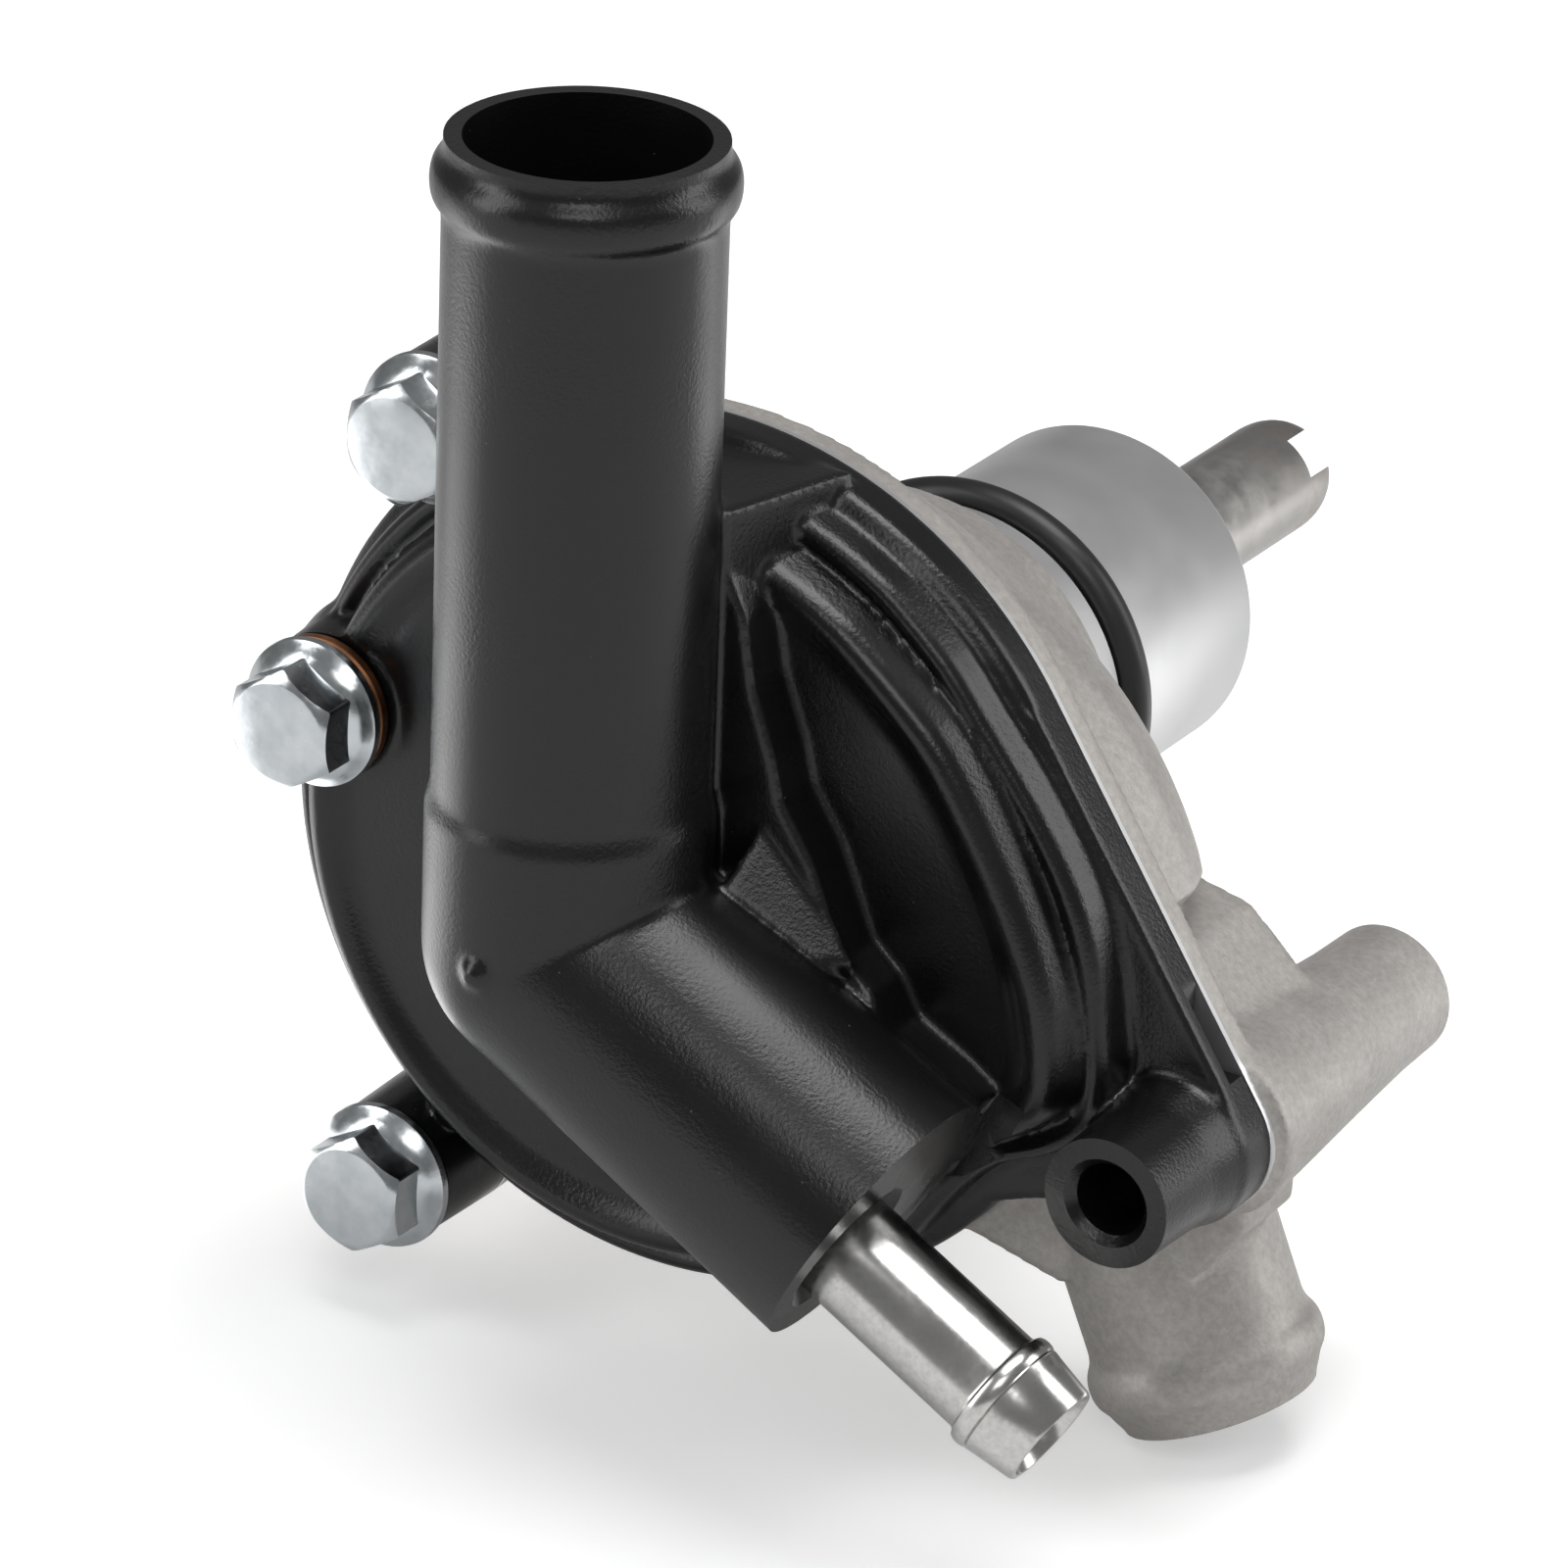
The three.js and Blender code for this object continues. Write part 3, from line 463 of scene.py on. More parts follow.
def makeShaftSteel():
    material, tree, shader = newMaterial("shaftSteel", (0.42, 0.4, 0.37), 0.36, 0.95)
    place = tree.nodes.new("ShaderNodeTexCoord")
    axes = tree.nodes.new("ShaderNodeSeparateXYZ")
    tree.links.new(place.outputs["Object"], axes.inputs["Vector"])
    cloud = noiseNode(tree, place.outputs["Object"], 240, 4, 0.6).outputs["Fac"]
    nearSlot = rangeNode(tree, axes.outputs["Y"], 0.056, 0.07, 0.0, 0.8)
    stain = mathNode(tree, "MULTIPLY", rangeNode(tree, cloud, 0.42, 0.66, 0.0, 1.0), nearSlot)
    tone = mixColours(tree, rangeNode(tree, cloud, 0.3, 0.7, 0.0, 1.0),
                      (0.36, 0.345, 0.33), (0.52, 0.505, 0.49))
    tone = mixColours(tree, stain, tone, (0.16, 0.085, 0.05))
    tree.links.new(tone, shader.inputs["Base Color"])
    tree.links.new(rangeNode(tree, cloud, 0.3, 0.7, 0.3, 0.46), shader.inputs["Roughness"])
    lines = useGroup(tree, turningLines, Pitch=0.0004)
    bumpFrom(tree, shader, lines.outputs["Height"], 0.18, 0.00005)
    return material


def makeRubber():
    material, tree, shader = newMaterial("blackRubber", (0.012, 0.012, 0.012), 0.4)
    fine = objectNoise(tree, 2600, 2)
    slow = objectNoise(tree, 200, 2)
    tree.links.new(rangeNode(tree, slow, 0.3, 0.7, 0.34, 0.46), shader.inputs["Roughness"])
    bumpFrom(tree, shader, fine, 0.1, 0.00004)
    return material


def makeSimple(name, first, second, roughness, metallic, scale=500):
    # a lightly mottled finish for small and inner pieces
    material, tree, shader = newMaterial(name, first, roughness, metallic)
    cloud = objectNoise(tree, scale, 3, 0.55)
    tree.links.new(mixColours(tree, rangeNode(tree, cloud, 0.35, 0.65, 0.0, 1.0), first, second),
                   shader.inputs["Base Color"])
    rough = rangeNode(tree, cloud, 0.3, 0.7, roughness * 0.85, roughness * 1.15)
    tree.links.new(rough, shader.inputs["Roughness"])
    bumpFrom(tree, shader, objectNoise(tree, scale * 4, 2), 0.1, 0.00004)
    return material


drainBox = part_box("drain_bolt")
drainMiddle = [(a + b) / 2 for a, b in zip(*drainBox)]
markPlace = {"location": (-drainMiddle[0] - 0.0006, -drainBox[0][1], -drainMiddle[2] + 0.0004),
             "turn": 28, "halfWidth": 0.0011, "halfLength": 0.0042}

blackPaint = makeBlackPaint()
castAlloy = makeCastAlloy()
turnedAlloy = makeTurnedAlloy()
zincPlate = makeZinc("zincPlate")
markedZinc = makeZinc("markedZinc", True)
brightSteel = makeBrightSteel()
shaftSteel = makeShaftSteel()
rubber = makeRubber()
brownCopper = makeSimple("brownCopper", (0.2, 0.085, 0.04), (0.34, 0.15, 0.07), 0.4, 0.9)
bronze = makeSimple("bronze", (0.5, 0.34, 0.13), (0.42, 0.27, 0.1), 0.35, 1.0)
carbon = makeSimple("carbon", (0.02, 0.02, 0.022), (0.03, 0.03, 0.032), 0.45, 0.0)
ceramic = makeSimple("ceramic", (0.75, 0.72, 0.66), (0.7, 0.67, 0.6), 0.25, 0.0)
print("materials made")


# the cover
jointY = -34.0  # parting plane of the two castings
gap = 0.3  # between the castings, and under the bolt heads
coverFace = jointY - gap
bossPlace = (50.0, -14.0)
boltPlaces = {"cover_bolt_upper": (-23.6, 36.8), "cover_bolt_lower": (-27.2, -37.0)}
drainPlace = (-33.0, 8.6)

cover = {
    "flange": 40.7, "flangeFront": -38.2, "lobe": 7.1, "pad": 6.9, "seat": -43.6,
    "pipeAxis": -57.3, "pipe": 12.0, "pipeBore": 10.4, "top": 73.0, "bead": 0.95, "beadBelow": 3.8,
    "branchLength": 36.5, "branch": 13.2, "voxel": 0.36, "rounds": 11, "drainSeat": -45.6,
    "nippleDrop": 2.2, "nippleForward": 2.6, "bossFront": -50.0, "beadHalf": 1.9, "branchTurn": 29.5,
    "ribFront": -50.0, "armFrom": 34, "armTo": -115,
}
branchTurn = math.radians(cover["branchTurn"])
branchWay = (math.cos(branchTurn), 0, -math.sin(branchTurn))
nippleStart = (cover["nippleDrop"] * branchWay[2], cover["pipeAxis"] - cover["nippleForward"],
               -cover["nippleDrop"] * branchWay[0])


def drawnOut(radius, lobe):
    # outline from the round flange to the mounting boss
    bossX, bossZ = bossPlace
    edge = polar(radius, cover["armFrom"])
    lobeTop = polar(lobe, cover["armFrom"])
    lobeLow = polar(lobe, cover["armTo"])
    root = polar(radius - 2, -46)
    control = (root[0] + 5.3, root[1] + 4.7)  # pulls the lower edge into a hollow curve
    end = (bossX + lobeLow[0], bossZ + lobeLow[1])
    points = [(0, 0), root]
    for i in range(1, 13):
        t = i / 12
        points.append(tuple((1 - t) ** 2 * a + 2 * t * (1 - t) * b + t * t * c
                            for a, b, c in zip(root, control, end)))
    points += [(bossX, bossZ), (bossX + lobeTop[0], bossZ + lobeTop[1]), edge]
    return points


def onCover(name, place, profile, sides=64):
    return turned(name, profile, sides, (place[0], 0, place[1]), (0, 1, 0))


def makeCover():
    c = cover
    axisPoint = (0, c["pipeAxis"], 0)
    front, back = c["flangeFront"], coverFace + 1.2
    parts = [
        onCover("rim", (0, 0), [
            (c["flange"] - 0.9, front), (c["flange"], front + 0.9), (c["flange"], back)], 160),
        outlinePlate("arm", drawnOut(c["flange"], c["lobe"]), front + 0.2, back),
        onCover("armEnd", bossPlace, [(c["lobe"], front), (c["lobe"], back)]),
    ]
    for name, place in boltPlaces.items():
        parts.append(onCover("pad", place, [(c["pad"] - 0.3, c["seat"] - 1.5), (c["pad"], back)]))
    # inlet pipe with its bead, a touch wider below the ledge
    bead = c["top"] - c["beadBelow"]
    pipe = c["pipe"]
    wide = pipe + 0.5
    profile = [(wide, 0), (wide, 12.5), (pipe, 14.2), (pipe, bead - 2.9), (pipe + 0.25, bead - 2.1)]
    profile += beadArc(pipe + 0.1, bead, c["bead"], c["beadHalf"])
    profile += [(pipe - 0.05, bead + 2.6), (pipe - 0.1, c["top"] + 1.5)]
    parts.append(turned("pipe", profile, 128, axisPoint, (0, 0, 1)))
    parts.append(ball("elbow", axisPoint, wide, 48))
    parts.append(ball("nub", (-1.2, c["pipeAxis"] - pipe + 0.3, 0.6), 1.7, 16))
    end = c["branchLength"]
    parts.append(turned("branch", [(wide, 0), (c["branch"] - 0.2, end + 2)], 128, axisPoint, branchWay))
    # rib that carries the pipe, its flat roof and the corner gusset
    parts += ribOfPipe()
    parts.append(cornerGusset())
    parts += coverSteps()
    parts.append(onCover("boss", bossPlace, [
        (5.9, c["bossFront"] - 1.5), (6.2, -42), (6.9, -38.2), (6.9, back)]))
    parts.append(onCover("drainBoss", drainPlace, [
        (6.5, c["drainSeat"] - 1.2), (6.9, -42), (7.6, -39), (7.6, back)]))
    outside = cast("coverOutside", parts, c["voxel"], c["rounds"], 0.34)
    print("cover outside", count(outside))
    return outside


def ribOfPipe():
    # the web between the pipe and the front wall, the plate it stands on and its flat roof
    web = [(-9.4, -8), (9.4, -8), (9.4, 39), (-9.4, 39)]
    foot = [(-9.8, 35), (-13.4, 28), (-13.4, 4), (-12, -14), (10, -21), (31, -17), (36.4, -9.4), (32.7, -7),
            (28.1, -4.6), (26.3, -1.4), (23.2, 1.3), (22.1, 3.8), (19.6, 9.5), (16.6, 14), (15.6, 17.9),
            (13.4, 23.6), (12.2, 30), (9.8, 35)]
    front, back = cover["ribFront"], coverFace + 0.5
    roofFrom, roofTo = 18, 39.4
    roof = [(x, y, z) for side in (-1, 1) for x, y in ((side * 10.2, front), (side * 14.2, -36))
            for z in (roofFrom, roofTo)]
    return [outlinePlate("web", web, cover["pipeAxis"] + 3, back), outlinePlate("foot", foot, front, back),
            wedge("roof", roof)]


def wedge(name, corners):
    # a block with its eight corners moved into place
    bpy.ops.object.select_all(action="DESELECT")
    bpy.ops.mesh.primitive_cube_add(size=1)
    obj = bpy.context.object
    obj.name = name
    for vertex, corner in zip(obj.data.vertices, corners):
        vertex.co = Vector(corner) * mm
    closeUp(obj)
    return obj


def cornerGusset():
    # the sloping facet between pipe, branch and front wall
    return wedge("gusset", [(6, -46, -8), (15.2, -48.5, 13.4), (6, -57, -6), (11.5, -57.6, 1.9),
                            (22, -46, -8), (24.6, -50, 1.3), (13, -57, -6), (13, -57.4, 1.4)])


# both steps are drawn out to the mounting boss, where they end in rounded tips
lowerTip = [(27.6, 27.3), (31.5, 22.6), (36.7, 16.1), (41, 9.4), (43.5, 2.7), (44.6, -4),
            (45, -8), (44, -12.5), (40, -16), (34.6, -18.6), (30.5, -22.5)]
upperTip = [(25.3, 25.3), (30.2, 20.6), (35.2, 13), (38.5, 6.8), (40.8, 1), (41.9, -4),
            (42.2, -8), (41, -11), (38, -13.4), (33, -16.5), (28.2, -20.8)]


def stepOutline(radius, tip):
    # round on the left, then the tip from its top down to the boss and back
    back = [polar(radius, 311 - 4 * i) for i in range(65)]
    return smoothOutline(back + tip, 3)


def outlineStack(name, outline, levels):
    # an outline drawn out through levels of (distance along Y, inset in mm), the inset by scaling
    reach = max(math.hypot(x, z) for x, z in outline)
    bpy.ops.object.select_all(action="DESELECT")
    bpy.ops.mesh.primitive_circle_add(vertices=len(outline), radius=0.01, fill_type="NGON")
    obj = bpy.context.object
    obj.name = name
    y, inset = levels[0]
    size = (reach - inset) / reach
    for vertex, (x, z) in zip(obj.data.vertices, outline):
        vertex.co = (x * size * mm, y * mm, z * size * mm)
    startEdit(obj)
    bpy.ops.mesh.select_all(action="SELECT")
    for nextY, nextInset in levels[1:]:
        bpy.ops.mesh.extrude_region_move(TRANSFORM_OT_translate={"value": (0, (nextY - y) * mm, 0)})
        nextSize = (reach - nextInset) / reach
        grow = nextSize / size
        bpy.ops.transform.resize(value=(grow, 1, grow), center_override=(0, nextY * mm, 0))
        y, size = nextY, nextSize
    endEdit()
    closeUp(obj)
    return obj


def smoothOutline(points, steps=5):
    # a rounded line through the points (Catmull-Rom), closed
    result = []
    count = len(points)
    for i in range(count):
        a, b, c, d = (points[(i + k) % count] for k in (-1, 0, 1, 2))
        for j in range(steps):
            t = j / steps
            result.append(tuple(0.5 * (2 * q + (r - p) * t + (2 * p - 5 * q + 4 * r - u) * t * t
                                       + (3 * q - p - 3 * r + u) * t ** 3)
                                for p, q, r, u in zip(a, b, c, d)))
    return result


def coverSteps():
    # each step ends in a raised, rounded bead with a shallow dip inside it
    back = coverFace + 0.5
    lower = [(-41.3, 3.6), (-41.4, 2.9), (-42.0, 2.1), (-42.2, 1.3), (-42.0, 0.6), (-41.3, 0.1),
             (-38, -0.4), (back, -0.4)]
    upper = [(-44.9, 5.6), (-45.2, 4.4), (-45.8, 3.4), (-46.1, 2.5), (-46.1, 1.7), (-45.8, 0.9),
             (-45.0, 0.15), (-42.5, -0.6), (back, -0.6)]
    return [outlineStack("lowerStep", stepOutline(38.9, lowerTip), lower),
            outlineStack("upperStep", stepOutline(35.6, upperTip), upper)]


def wayThrough(c):
    # water passages as one core, as the foundry's sand core
    axisPoint = (0, c["pipeAxis"], 0)
    parts = [
        turned("boreUp", [(c["pipeBore"], 0), (c["pipeBore"], c["top"] + 6)], 96, axisPoint, (0, 0, 1)),
        ball("boreElbow", axisPoint, c["pipeBore"], 40),
        turned("boreBranch", [(10.2, 0), (10.2, c["branchLength"] - 12.5)], 96, axisPoint, branchWay),
        turned("eye", [(9, c["pipeAxis"]), (9, -40)], 64),
        turned("room", [(29.5, -42.6), (33, -39), (33, jointY + 4)], 96),
    ]
    return cast("core", parts, 0.6, 2)


def finishCover(outside):
    c = cover
    cutAway(outside, wayThrough(c))
    end = c["branchLength"]
    top = c["top"]
    tools = [
        # flat cuts: the joint face, the pipe's rim, the branch's end, the boss, the pads
        block("jointCut", (-70, coverFace, -60), (70, coverFace + 12, 60)),
        block("rimCut", (-20, c["pipeAxis"] - 20, top), (20, c["pipeAxis"] + 20, top + 12)),
        turned("endCut", [(15.5, end), (15.5, end + 3)], 48, (0, c["pipeAxis"], 0), branchWay),
        onCover("bossCut", bossPlace, [(9, c["bossFront"] - 8), (9, c["bossFront"])]),
    ]
    print("after core", count(outside))
    cutAway(outside, gather("flatCuts", tools))
    print("after flat cuts", count(outside))
    tools = [
        turned("nippleHole", [(5.3, end - 16), (5.3, end - 1.5), (7.4, end + 0.6), (7.4, end + 4)], 64,
               nippleStart, branchWay),
        onCover("bossHole", bossPlace, [
            (6.0, c["bossFront"] - 2.3), (3.3, c["bossFront"] + 0.9), (3.3, jointY + 5)]),
        onCover("drainHole", drainPlace, [
            (7.5, c["drainSeat"] - 6), (7.5, c["drainSeat"]), (3.3, c["drainSeat"] + 0.01), (3.3, -37)]),
        block("pryNotch", (49.0, coverFace - 2.0, -7.2), (58, jointY + 4, 0.8)),
    ]
    for name, place in boltPlaces.items():
        tools.append(onCover("padCut", place, [
            (9, c["seat"] - 8), (9, c["seat"]), (3.3, c["seat"] + 0.01), (3.3, -38)]))
        tools.append(onCover("dowelHole", place, [(4.5, -37.7), (4.5, jointY + 5)]))
    cutAway(outside, gather("holeCuts", tools))
    closeUp(outside)
    return outside


coverPiece = finishCover(makeCover())
coverPiece.name = "cover_casting"
print("cover done", count(coverPiece))
wear(coverPiece, blackPaint)
finishPiece(coverPiece, "pump_body", "cover")

# the housing
housing = {
    "flange": 40.7, "flangeBack": -31.0, "lobe": 7.1, "scrollBack": -13.0, "scroll": 33.2, "opening": 9.0,
    "outletY": -23.0, "outletOffset": 26.0, "outlet": 9.9, "outletBore": 7.9, "outletReach": 61.0,
    "snout": 16.05, "snoutEnd": 35.0, "land": 17.3, "grooveStart": 8.4, "grooveEnd": 12.6, "groove": 15.3,
    "voxel": 0.44, "rounds": 6, "bead": 0.85, "beadHalf": 1.7, "beadBelow": 4.4, "outletTurn": 66.7,
    "swell": 0.84,
}
outletTurn = math.radians(housing["outletTurn"])
outletWay = (math.cos(outletTurn), 0, -math.sin(outletTurn))
outletStart = (housing["outletOffset"] * math.sin(outletTurn), housing["outletY"],
               housing["outletOffset"] * math.cos(outletTurn))


def scrollOutline(inset=0.0):
    # nearly round, then it swells towards the outlet over the last share of the turn
    points = []
    for i in range(121):
        share = i / 120
        opening = max(0.0, (share - housing["swell"]) / (1 - housing["swell"])) ** 1.15
        radius = housing["scroll"] + 0.6 + share + housing["opening"] * opening - inset
        points.append(polar(radius, -50 - 305 * share))
    return points


def outletPipe():
    h = housing
    pipe, end = h["outlet"], h["outletReach"]
    bead = end - h["beadBelow"]
    profile = [(pipe + 0.7, 10), (pipe + 0.1, 24), (pipe, bead - 2.9), (pipe + 0.25, bead - 2.0)]
    profile += beadArc(pipe + 0.1, bead, h["bead"], h["beadHalf"])
    profile += [(pipe - 0.1, bead + 2.4), (pipe - 0.35, end - 1.3), (pipe - 0.9, end - 0.5),
                (pipe - 1.35, end + 1.2)]
    return turned("outlet", profile, 128, outletStart, outletWay)


def makeHousing():
    h = housing
    front, back = jointY - 1.2, h["flangeBack"]
    parts = [
        turned("housingRim", [(h["flange"], front), (h["flange"], back)], 160),
        outlinePlate("housingArm", drawnOut(h["flange"], h["lobe"]), front, back),
        onCover("housingLobe", bossPlace, [(h["lobe"], front), (h["lobe"], back)]),
        outlineStack("scrollWall", scrollOutline(), [
            (-33, 0), (-25, 0), (-21.5, 1.2), (-18, 3.6), (-15.4, 6.6), (-13.6, 10.4), (h["scrollBack"], 13)]),
        turned("hub", [
            (29.5, -17), (29, -14), (27.2, -12.6), (24.6, -9), (23.2, -5), (22.4, -1.2), (21.6, -0.4),
            (21.6, 1.5)], 128),
        outletPipe(),
        onCover("housingBoss", bossPlace, [(8.4, -33), (8.0, -27), (7.1, -15), (6.5, -6), (6.3, 1.5)]),
        outlinePlate("bossWall", [
            (30, 2), (44, -1), (50, -6.5), (54, -11), (52.5, -18), (44, -22), (36, -34), (20, -30)], -32, -15),
        outlinePlate("outletWall", [(38, -10), (54, -14), (53.5, -24), (46, -33), (36, -30)], -31, -22),
    ]
    for name, place in boltPlaces.items():
        parts.append(onCover("boltBoss", place, [(6.9, front), (6.8, -30), (5.9, -19.4), (5.2, -18.6)]))
    body = cast("housingBody", parts, h["voxel"], h["rounds"], 0.34)
    print("housing body", count(body))
    land, groove = h["land"], h["groove"]
    snout = turned("snout", [
        (12, -6), (land, -5.5), (land, h["grooveStart"] - 0.35), (land - 0.35, h["grooveStart"]),
        (groove, h["grooveStart"] + 0.01), (groove, h["grooveEnd"]),
        (h["snout"] - 0.3, h["grooveEnd"] + 0.01), (h["snout"], h["grooveEnd"] + 0.3),
        (h["snout"], h["snoutEnd"] - 0.7), (h["snout"] - 0.2, h["snoutEnd"] - 0.3),
        (h["snout"] - 0.7, h["snoutEnd"]),
    ], 160)
    flat = [
        block("frontCut", (-70, jointY - 12, -70), (75, jointY, 60)),
        turned("hubCut", [(24, 0), (24, 10)], 96),
        onCover("bossBackCut", bossPlace, [(8, 0), (8, 8)]),
        turned("outletCut", [(16, h["outletReach"]), (16, h["outletReach"] + 6)], 48, outletStart, outletWay),
    ]
    cutAway(body, gather("housingCuts", flat))
    addModifier(body, "BOOLEAN", operation="UNION", solver="EXACT", object=snout)
    bpy.data.objects.remove(snout)
    channel = outlineStack("channel", scrollOutline(3.0), [
        (jointY - 3, 0), (-26, 0.3), (-22.5, 2), (-20, 4.6), (-18.4, 8)])
    cutAway(channel, turned("coreWall", [(17.6, -27.2), (17.6, -10)], 96))
    cutAway(body, channel)
    tools = [turned("shaftBore", [
        (14.1, -30), (14.1, -16.4), (6.6, -16.39), (6.6, -10.4), (7.8, -10.39), (7.8, 2.4), (6.6, 2.41),
        (6.6, 7.6), (11, 7.61), (11, 15), (11.4, 23.7), (13.2, 23.71), (13.2, 32.3), (14.1, 32.31),
        (14.1, 33.9), (13.2, 33.91), (13.2, 34.6), (13.7, 36)], 128),
        onCover("housingBossHole", bossPlace, [(3.3, jointY - 3), (3.3, -1), (4.6, 1.2)])]
    for name, place in boltPlaces.items():
        tools.append(onCover("boltHole", place, [
            (4.5, jointY - 3), (4.5, -30.3), (3.3, -30.29), (3.3, -21.6)]))
    cutAway(body, gather("housingHoles", tools))
    cutAway(body, turned("outletBore", [(h["outletBore"], 4), (h["outletBore"], 66)], 96,
                         outletStart, outletWay))
    cutAway(body, turned("weep", [(2, 0), (2, 34)], 32, (0, -12.8, 0), (0, 0, -1)))
    cutAway(body, turned("ringGroove", [
        (36.25, -36), (38.15, -35.99), (38.15, -32), (36.25, -32.01), (36.25, -36)], 160))
    closeUp(body)
    body.name = "housing_casting"
    return body


def nameTurnedFaces(obj, first, second):
    # the snout and the joint face were machined: they get the second finish, from a clean cut line
    wear(obj, first, second)
    startEdit(obj)
    bpy.ops.mesh.select_all(action="SELECT")
    bpy.ops.mesh.bisect(plane_co=(0, (jointY + 0.5) * mm, 0), plane_no=(0, 1, 0))
    endEdit()
    for face in obj.data.polygons:
        x, y, z = (value / mm for value in face.center)
        distance = math.hypot(x, z)
        snoutSide = y > -0.05 and distance < 17.6
        jointSide = y < jointY + 0.5 and not (x > 25 and z < -33)
        inBore = distance < 14.3 and y > -30
        if snoutSide or jointSide or inBore:
            face.material_index = 1


housingPiece = makeHousing()
nameTurnedFaces(housingPiece, castAlloy, turnedAlloy)
finishPiece(housingPiece, "pump_body", "housing")
print("housing done", count(housingPiece))


# flange bolts and the drain washer
bolt = {
    "acrossFlats": 10.0, "head": 6.2, "flange": 6.95, "shankRadius": 3.0, "pitch": 1.0, "long": 20, "short": 9,
    "washer": 1.2,
}


def flangeBolt(name, place, seat, shank):
    b = bolt
    corner = b["acrossFlats"] / 2 / math.cos(math.pi / 6)
    bpy.ops.object.select_all(action="DESELECT")
    bpy.ops.mesh.primitive_cylinder_add(vertices=6, radius=corner * mm, depth=(b["head"] - 0.6) * mm,
                                        location=(0, 0, (-b["head"] - 0.6) / 2 * mm))
    hexagon = bpy.context.object
    settle(hexagon)
    addModifier(hexagon, "BEVEL", width=0.22 * mm, segments=3, limit_method="ANGLE")
    crown = turned("crown", [
        (corner - 1.25, -b["head"]), (corner - 0.95, -b["head"] + 0.12), (corner - 0.55, -b["head"] + 0.42),
        (corner + 0.1, -b["head"] + 1.05), (corner + 0.3, 0.5)], 96, (0, 0, 0), (0, 0, 1))
    addModifier(hexagon, "BOOLEAN", operation="INTERSECT", solver="EXACT", object=crown)
    bpy.data.objects.remove(crown)
    collar = turned("collar", [
        (corner - 1.0, -2.6), (corner - 0.25, -2.3), (corner + 0.35, -1.75), (b["flange"] - 0.4, -1.25),
        (b["flange"] - 0.08, -1.0), (b["flange"], -0.7), (b["flange"], -0.3), (b["flange"] - 0.25, 0)],
        96, (0, 0, 0), (0, 0, 1))
    radius = b["shankRadius"]
    threads = [(radius, -0.5), (radius, 3)]
    turnHeight = 3.0
    while turnHeight < shank - 1.4:
        threads += [(radius, turnHeight + 0.1), (radius - 0.5, turnHeight + 0.5), (radius, turnHeight + 0.9)]
        turnHeight += b["pitch"]
    threads += [(radius - 0.3, shank - 0.4), (radius - 0.7, shank)]
    thread = turned("thread", threads, 48, (0, 0, 0), (0, 0, 1))
    for part in (collar, thread):
        addModifier(hexagon, "BOOLEAN", operation="UNION", solver="EXACT", object=part)
        bpy.data.objects.remove(part)
    hexagon.name = name + "_piece"
    layAlong(hexagon, (place[0], seat, place[1]), (0, 1, 0))
    closeUp(hexagon)
    return hexagon


def placeBolts():
    for name, place in boltPlaces.items():
        piece = flangeBolt(name, place, cover["seat"] - gap, bolt["long"])
        wear(piece, zincPlate)
        finishPiece(piece, "pump_body", name)
    drainFace = cover["drainSeat"] - gap
    thick = bolt["washer"]
    piece = flangeBolt("drain_bolt", drainPlace, drainFace - thick - gap, bolt["short"])
    wear(piece, markedZinc)
    finishPiece(piece, "pump_body", "drain_bolt")
    washer = turned("drain_washer_piece", [
        (3.3, drainFace - 1.0), (3.5, drainFace - thick), (6.4, drainFace - thick), (6.65, drainFace - 1.0),
        (6.7, drainFace - thick / 2), (6.65, drainFace - 0.2), (6.4, drainFace), (3.5, drainFace),
        (3.3, drainFace - 0.2), (3.3, drainFace - 1.0)], 96, (drainPlace[0], 0, drainPlace[1]))
    wear(washer, brownCopper)
    finishPiece(washer, "pump_body", "drain_washer")


placeBolts()
print("bolts done")


# bypass nipple, pressed into the branch
nipple = {
    "radius": 5.05, "bore": 3.9, "reach": 23.8, "seat": 9.0, "bead": 0.62, "beadHalf": 0.85, "beadBelow": 5.6,
}


def makeNipple():
    n = nipple
    start = cover["branchLength"] - n["seat"]
    rim = cover["branchLength"] + n["reach"]
    bead = rim - n["beadBelow"]
    radius = n["radius"]
    profile = [(n["bore"], start), (radius - 0.3, start), (radius, start + 0.4), (radius, bead - 1.3),
               (radius + 0.12, bead - 1.0)]
    profile += beadArc(radius + 0.12, bead, n["bead"], n["beadHalf"], 3)
    profile += [(radius + 0.55, bead + 1.0), (radius + 0.42, bead + 1.7), (radius - 0.1, rim - 0.25),
                (radius - 0.25, rim), (radius - 0.75, rim), (n["bore"], rim - 0.9), (n["bore"], start)]
    return turned("bypass_nipple_piece", profile, 96, nippleStart, branchWay)


nipplePiece = makeNipple()
wear(nipplePiece, brightSteel)
finishPiece(nipplePiece, "pump_body", "bypass_nipple")


snoutRing = {"radius": 17.2, "section": 3.3, "y": 10.5, "seam": 0.06}


